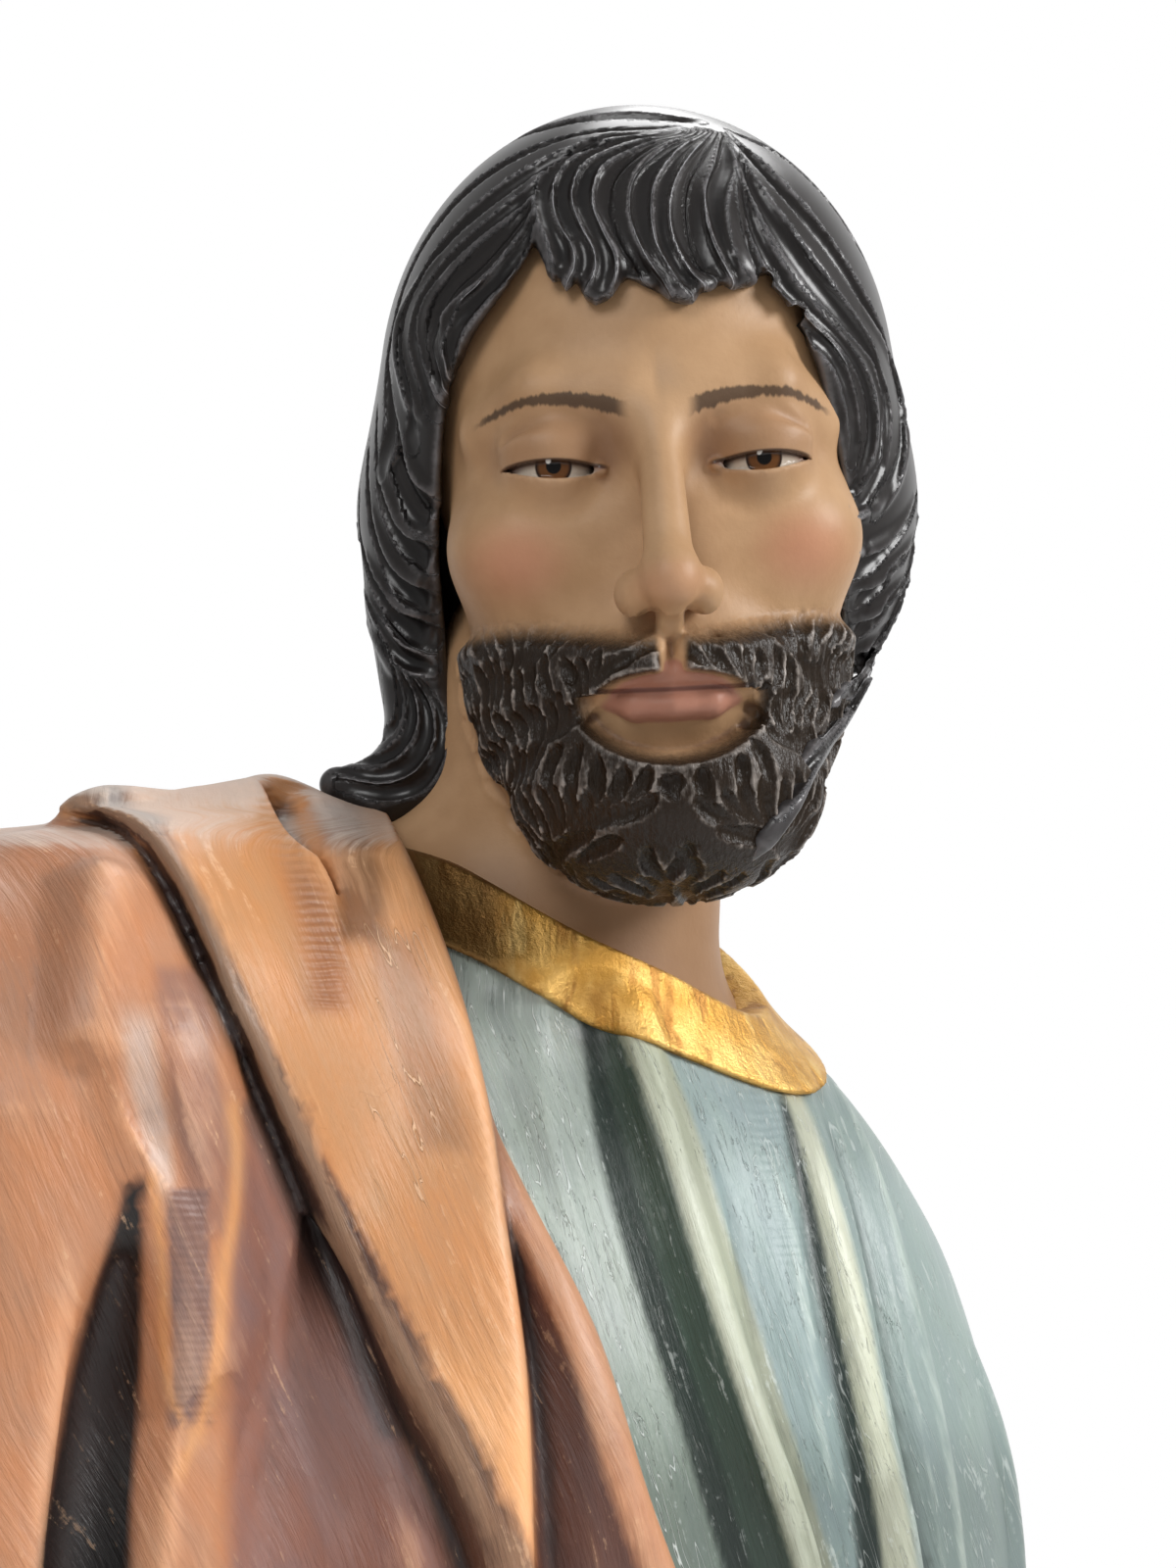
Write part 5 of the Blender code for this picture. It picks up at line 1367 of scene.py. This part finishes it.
def cloth_paint(name, roughness, light, dark, scratched, torn):
    """Cloth painted in the colours noted on the mesh, with paler paint and painted highlights on the ridges and painted
    shade in the hollows, in flat cuts that run with the folds, with ripple marks of the gouge, painted paler on their
    crests and darker in their troughs, where they are noted."""
    paint = Paint(name, roughness, 0.08)
    place = paint.where()
    flow = paint.vector("flow")
    base = paint.vector("paint")
    brushed = paint.noise(paint.stretched(flow, (0.34, 0.022, 0.05)), 1.0, 4, 0.65, 0.3)
    wide = paint.noise(paint.stretched(flow, (0.10, 0.014, 0.03)), 1.0, 3, 0.6, 0.4)
    clouds = paint.noise(place, 26, 4, 0.6, 0.5)
    grain = paint.noise(place, 420, 3, 0.6)
    near, far = paint.number("relief"), paint.number("broad")
    base = paint.mix(clouds.step(0.25, 0.75) * 0.5 + wide.step(0.3, 0.7) * 0.3, base, light, "SOFT_LIGHT")
    # the ridges paler, partly dry-brushed and partly painted highlight, and painted shade in the hollows
    paler = paint.mix(0.45, paint.mix(1.0, base, (1.7, 1.7, 1.7), "MULTIPLY"), light)
    ridge = (near * 1.1 + far * 0.45 + (brushed - 0.5) * 1.8).step(0.45, 1.5)
    hollow = (near * 0.7 + far * 0.5 + (brushed - 0.5) * 0.9).step(-0.25, -2.0)
    colour = paint.mix(hollow * 0.9, base, dark)
    colour = paint.mix(ridge * 0.6, colour, paler)
    # flat cuts, each tilted its own way
    cells = paint.tree.nodes.new("ShaderNodeTexVoronoi")
    paint.tree.links.new(paint.stretched(flow, (1 / 17, 1 / 62, 1 / 40), (0, 0, 8)), cells.inputs["Vector"])
    cells.inputs["Scale"].default_value = 1.0
    tilt = paint.cross(cells)
    dry = (brushed + (grain - 0.5) * 0.5).step(0.60, 0.72) * tilt.step(-0.25, 0.3)
    colour = paint.mix(dry * 0.4, colour, scratched)
    # thin scratches, and a pale painted highlight where the cloth faces up
    threads = (paint.noise(paint.stretched(flow, (0.13, 0.011, 0.05), (0, 0, 5)), 1.0, 2, 0.5) - 0.5).abs()
    thread = threads.step(0.009, 0.003) * paint.number("scratch")
    colour = paint.mix(thread * 0.7, colour, scratched)
    top = paint.number("top")
    # painted highlight, whitish, on the cloth where it faces up
    up_facing_highlight = (top + (brushed - 0.5) * 0.8 + (clouds - 0.5) * 0.8).step(0.5, 1.0)
    colour = paint.mix(up_facing_highlight * 0.55, colour, (0.60, 0.53, 0.47))
    # torn grain
    tears = paint.noise(paint.stretched(flow, (0.42, 0.05, 0.1), (0, 0, -6)), 1.0, 3, 0.7, 0.8)
    tear = tears.step(0.60, 0.66) * clouds.step(0.46, 0.56) * torn
    colour = paint.mix(tear * 0.35, colour, scratched)
    ripple = (paint.parts(flow)[1] * 1.4 + paint.noise(flow, 0.05, 2, 0.5) * 7.0).do("SINE") * paint.number("chatter")
    # the ripple marks painted paler on their crests and darker in their troughs: painted highlight and shade
    colour = paint.mix(ripple.step(0.3, 1.0) * 0.14, colour, scratched)
    colour = paint.mix(ripple.step(-0.5, -1.0) * 0.22, colour, dark)
    paint.set("Base Color", colour)
    height = brushed * 0.7 + grain * 0.15 + tilt * 1.5 + thread * 0.7 + ripple * 0.22 - tear * 1.2
    paint.set("Normal", paint.bump(height, 0.0011, 0.8))
    return paint.material


# Camera and light
def look():
    camera = bpy.data.objects.new("camera", bpy.data.cameras.new("camera"))
    camera.data.sensor_fit = "VERTICAL"
    camera.data.sensor_height, camera.data.lens = 36, 45
    right, up, ahead = np.array(ACROSS), np.array(UPWARD), np.array(SIGHT)
    place = (np.array(LOOKOUT) + np.array(CENTRE)) / 1000
    rows = [[right[i], up[i], -ahead[i], place[i]] for i in range(3)] + [[0, 0, 0, 1]]
    camera.matrix_world = Matrix(rows)
    bpy.context.scene.collection.objects.link(camera)
    bpy.context.scene.camera = camera


def lamp(name, place, aim, size, power):
    light = bpy.data.objects.new(name, bpy.data.lights.new(name, "AREA"))
    light.data.size, light.data.energy = size, power
    light.location = place
    toward = np.array(aim) - np.array(place)
    light.rotation_euler = Vector(toward).to_track_quat("-Z", "Y").to_euler()
    bpy.context.scene.collection.objects.link(light)


# The carving's pieces
def make_hair():
    hair = Hair()
    paint = hair_paint()
    halves = (("hair_front", hair.front, -115, HAIR_SEAM + 8), ("hair_back", hair.back, HAIR_SEAM - 8, 130))
    for name, field, low, high in halves:
        piece, points = carve(name, field, (-135, low, -165), (115, high, 150), 6, True)
        note(piece.data, "relief", relief(piece.data, points, 8))
        note(piece.data, "strand", strand_of(points, hair.strands, hair.families))
        settle_in(piece, True)
        piece.data.materials.append(paint)


def make_face():
    piece, points = carve("face", Face(), (-130, -140, -240), (130, 60, 90), 4, True)
    p = columns(points)
    note(piece.data, "head", points)
    note(piece.data, "relief", relief(piece.data, points, 6))
    note(piece.data, "broad", relief(piece.data, points, 40))
    q = from_head(p)
    neck_gap = join(body(q) + F32(7), neck(q), 26)
    note(piece.data, "beard", beard_amount(p, 1.9) * ease((neck_gap - 3) / F32(5)))
    note(piece.data, "lip", lips(p))
    settle_in(piece, True)
    piece.data.materials.append(skin_paint())


def make_cloth():
    cloth = Cloth()
    low, high = (-285, -165, -6), (225, 190, 440)
    piece, points = carve("collar", cloth.collar, (-120, -120, 230), (120, 150, 400), 8)
    note(piece.data, "broad", relief(piece.data, points, 30))
    # how far into the painted shadow at the collar's left end
    note(piece.data, "collar_painted_shadow", ease((-15 - in_view(columns(points))[0]) / 40))
    settle_in(piece)
    piece.data.materials.append(gilt_paint())
    for name, field, tones in (("tunic", cloth.tunic, tunic_tones), ("mantle", cloth.mantle, mantle_tones)):
        piece, points = carve(name, field, low, high, 14)
        note(piece.data, "relief", relief(piece.data, points, 6))
        note(piece.data, "broad", relief(piece.data, points, 50))
        facing = np.empty(len(points) * 3, np.float32)
        piece.data.vertex_normals.foreach_get("vector", facing)
        for key, values in tones(points, cloth, facing.reshape(-1, 3)).items():
            note(piece.data, key, values)
        settle_in(piece)
        colours = CLOTH_COLOURS[name]
        piece.data.materials.append(cloth_paint(name + "_paint", *colours))


# Roughness, the colours of the ridges' paler paint and painted highlight, of the hollows' painted shade and of
# scratches, and how torn the grain is
CLOTH_COLOURS = {
    "tunic": (0.44, (0.60, 0.63, 0.54), (0.010, 0.018, 0.014), (0.66, 0.71, 0.68), 0.6),
    "mantle": (0.47, (0.72, 0.45, 0.27), (0.026, 0.011, 0.009), (0.80, 0.50, 0.30), 0.0),
}


def dimmed(tone, share):
    return tone * (1 - share)[:, None]


def blend(tone, colour, share):
    share = np.clip(share, 0, 1)[:, None]
    return tone * (1 - share) + np.array(colour) * share


def band(across, up, course, half):
    """How near points are to a course in the view, 1 on it."""
    c = rising(course)
    ends = ease((up - c[0, 1] + 10) / 12) * ease((c[-1, 1] + 10 - up) / 12)
    return np.exp(-((across - np.interp(up, c[:, 1], c[:, 0])) / half) ** 2) * ends


def past(across, up, course):
    """How far to the right of a course points are in the view."""
    c = rising(course)
    return across - np.interp(up, c[:, 1], c[:, 0])


def stripe(across, up, course, half, edge=2.0):
    """1 within a band along a course in the view, 0 outside, with crisp edges and ends."""
    ends = np.minimum(up - min(c[1] for c in course), max(c[1] for c in course) - up)
    return ease((np.minimum(half - np.abs(past(across, up, course)), ends + half * 0.5)) / edge + 0.5)


# Where the tunic's tones change, from its left panel to the right, and the tone right of each course
# The near-black and dark green tones are painted shade in the grooves; the pale olive ones, on the ridges beside them,
# are partly paler paint and partly painted highlight.
TUNIC_ZONES = (
    (((-4, -120), (3, -175), (15, -225), (30, -275), (46, -325), (69, -400), (88, -450), (150, -760)),
     (0.016, 0.030, 0.024)),
    (((3, -120), (15, -175), (29, -225), (45, -275), (61, -325), (84, -400), (103, -450), (165, -760)),
     (0.040, 0.070, 0.052)),
    (((12, -118), (35, -175), (50, -225), (70, -290), (90, -350), (105, -400), (122, -450), (180, -760)),
     (0.42, 0.44, 0.34)),
    (((32, -118), (55, -175), (70, -225), (91, -290), (110, -350), (125, -400), (142, -450), (195, -760)),
     (0.31, 0.395, 0.405)),
    (((96, -150), (100, -175), (111, -225), (120, -275), (129, -325), (138, -400), (152, -760)),
     (0.020, 0.036, 0.032)),
    (((97, -150), (106, -175), (118, -225), (128, -275), (138, -325), (151, -400), (168, -760)),
     (0.52, 0.53, 0.42)),
    (((104, -150), (116, -175), (132, -225), (144, -275), (153, -325), (168, -400), (186, -760)),
     (0.28, 0.35, 0.345)),
)


def tunic_tones(points, cloth, facing):
    across, up, _ = in_view(columns(points))
    tone = np.repeat([(0.36, 0.41, 0.385)], len(points), 0)
    tone = blend(tone, (0.22, 0.27, 0.24), ease((-250 - up) / 120))
    for course, colour in TUNIC_ZONES:
        tone = blend(tone, colour, ease(past(across, up, course) / 4 + 0.5))
    panel = ease(past(across, up, TUNIC_ZONES[3][0]) / 8) * ease(-past(across, up, TUNIC_ZONES[4][0]) / 8)
    tone = blend(tone, (0.16, 0.22, 0.225), ease((-300 - up) / 140) * panel * 0.5)
    tone = dimmed(tone, 0.12 + 0.28 * ease((-310 - up) / 60) + 0.15 * ease((up + 215) / 30))
    flow = np.stack([past(across, up, TUNIC_ZONES[2][0]), up, points[:, 1] * 0.5], 1)
    chatter = band(across, up, ((86, -140), (96, -190), (104, -240)), 8) * 0.4
    scratch = ease(-past(across, up, TUNIC_ZONES[0][0]) / 10) + 0.4 * ease(past(across, up, TUNIC_ZONES[3][0]) / 10)
    return {"paint": tone, "flow": flow, "chatter": chatter, "scratch": scratch, "top": np.zeros(len(points))}


# Places on the mantle in the view. On the arm: the soft fold, the painted shade beside it, the hollow painted black as
# shade, the band of painted highlight, and the scooped finger under it with its two rims. On the shawl: the valley,
# painted shadows and scratches.
ARM_FOLD = ((-208, -100), (-200, -160), (-190, -225))
ARM_SHADE = ((-172, -165), (-152, -205), (-130, -255), (-100, -330))
HOLLOW = ((-231, -206), (-238, -250), (-247, -310), (-257, -400), (-266, -760))
HIGHLIGHT_BAND = ((-231, -100), (-227, -150), (-219, -185), (-214, -225))
FINGER = ((-205, -212), (-203, -250), (-201, -290), (-203, -322))
RIMS = (
    (((-222, -200), (-217, -250), (-216, -290), (-212, -315), (-204, -330)), 2.5),
    (((-181, -165), (-179, -190), (-181, -220), (-186, -250), (-189, -290), (-196, -322), (-208, -350)), 4.0),
)
VALLEY = ((-166, -6), (-151, -34), (-139, -64), (-133, -96), (-133, -112))
VALLEY_SHADE = ((-128, -14), (-117, -45), (-116, -74))
SHAWL_SHADE = ((-100, -84), (-88, -125), (-74, -180))
SCRATCHES = ((-98, -80), (-96, -140), (-92, -205))


def mantle_tones(points, cloth, facing):
    p = columns(points)
    across, up, _ = in_view(p)
    shawl_right, under_right, shawl_left, front = cloth.edges(p)
    tone = blend(np.repeat([(0.52, 0.27, 0.125)], len(points), 0), (0.36, 0.175, 0.095), 1 - front)
    # the under layer is dark with a lighter border
    under = ease(shawl_right / 3 + 0.5) * front
    tone = blend(tone, (0.095, 0.05, 0.043), under)
    tone = blend(tone, (0.33, 0.17, 0.105), under * ease((under_right + 11) / 3))
    # over the arm: purple brown below, painted shade, black, in the hollow, a pale painted highlight above the scooped
    # finger
    arm = ease(-shawl_left / 5 - 0.2) * front
    tone = blend(tone, (0.47, 0.24, 0.14), arm)
    tone = blend(tone, (0.245, 0.14, 0.125), arm * ease((-140 - up) / 60) * ease((across + 190) / 14))
    tone = blend(tone, (0.27, 0.15, 0.12), arm * stripe(across, up, ARM_FOLD, 13, 9) * 0.8)
    tone = blend(tone, (0.10, 0.085, 0.09), front * stripe(across, up, ARM_SHADE, 8, 8) * 0.7)
    half = np.interp(up, (-400, -300, -215), (24, 18, 6))
    tone = blend(tone, (0.004, 0.003, 0.003), front * stripe(across, up, HOLLOW, half, 7))
    half = np.interp(up, (-225, -110), (5, 10))
    pale = arm * np.exp(-(past(across, up, HIGHLIGHT_BAND) / half) ** 4)
    tone = blend(tone, (0.60, 0.50, 0.46), pale * ease((-108 - up) / 22) * ease((up + 222) / 26) * 0.75)
    finger = stripe(across, up, FINGER, 10.5, 4)
    tone = blend(tone, (0.20, 0.135, 0.13), front * finger)
    for rim, half in RIMS:
        tone = blend(tone, (0.66, 0.34, 0.16), front * band(across, up, rim, half) * 0.9)
    # the shawl's flank in painted shade, and a dark line of painted shade that parts it from the arm
    side = ease((cloth.flank(p) - shawl_left) / 3) * ease(shawl_left / 3 + 1)
    tone = blend(tone, (0.038, 0.016, 0.011), side * front * 0.95)
    tone = blend(tone, (0.004, 0.003, 0.003), np.exp(-((shawl_left + 2) / 3) ** 2) * front * ease((-30 - up) / 30))
    # painted shade in the valley, painted shadows on the shawl beside it, the arm's outer top darker, and painted light
    # towards the shawl's bottom
    valley = band(across, up, VALLEY, 13)
    tone = blend(tone, (0.13, 0.06, 0.045), valley * 0.6 * front * ease((-20 - up) / 40))
    tone = dimmed(tone, 0.6 * stripe(across, up, VALLEY_SHADE, 12, 12))
    tone = dimmed(tone, 0.35 * stripe(across, up, SHAWL_SHADE, 13, 14))
    tone = dimmed(tone, 0.28 * arm * ease((-242 - across) / 16) * ease((up + 150) / 40))
    tone = dimmed(tone, -0.35 * ease((-270 - up) / 60) * (1 - under) * (1 - arm))
    return {
        "paint": tone,
        "flow": np.stack([shawl_left * 1.5, up, points[:, 1] * 0.5], 1),
        "chatter": np.clip(np.maximum(valley * 1.1, finger * 0.65) - 0.35, 0, 1) * front,
        "scratch": stripe(across, up, SCRATCHES, 16, 4),
        # where the cloth faces up, which gets a painted highlight
        "top": ease((facing[:, 2] - 0.45) / 0.5) * ease((up + 80) / 70),
    }


# Where each lamp stands and what it aims at in metres, how wide it is, and its power in watts
LAMPS = (
    ("left", (-1.15, -0.75, 1.05), (0, 0, 0.3), 0.6, 8),
    ("right", (0.75, -1.2, 0.95), (0, 0, 0.3), 0.6, 20.5),
    ("top", (0.45, 0.2, 1.75), (0, 0, 0.4), 0.7, 8.5),
)


def light_and_floor():
    """A white backcloth's glow behind the bust, dim grey elsewhere, two soft lamps before it and one above."""
    world = bpy.data.worlds.new("studio")
    world.use_nodes = True
    tree = world.node_tree
    place = tree.nodes.new("ShaderNodeTexCoord").outputs["Generated"]
    toward = tree.nodes.new("ShaderNodeVectorMath")
    toward.operation = "DOT_PRODUCT"
    tree.links.new(place, toward.inputs[0])
    toward.inputs[1].default_value = SIGHT
    glow = Sum(tree, toward.outputs["Value"]).step(0.55, 0.88) * (1 - STUDIO_GREY) + STUDIO_GREY
    tree.links.new(glow.socket, tree.nodes["Background"].inputs["Strength"])
    tree.nodes["Background"].inputs["Color"].default_value = (1, 1, 1, 1)
    bpy.context.scene.world = world
    for name, place, aim, size, power in LAMPS:
        lamp(name, place, aim, size, power)
    mesh = bpy.data.meshes.new("floor")
    rim = [(FLOOR_RADIUS * math.cos(a), FLOOR_RADIUS * math.sin(a), 0) for a in np.linspace(0, 2 * math.pi, 97)[:-1]]
    mesh.from_pydata(rim, [], [tuple(range(96))])
    floor = bpy.data.objects.new("floor", mesh)
    bpy.context.scene.collection.objects.link(floor)
    pale = Paint("floor_paint", 0.9)
    pale.set("Base Color", (0.86, 0.86, 0.86, 1))
    mesh.materials.append(pale.material)
    bpy.context.scene.view_settings.view_transform = "Standard"


make_hair()
make_face()
make_cloth()
look()
light_and_floor()
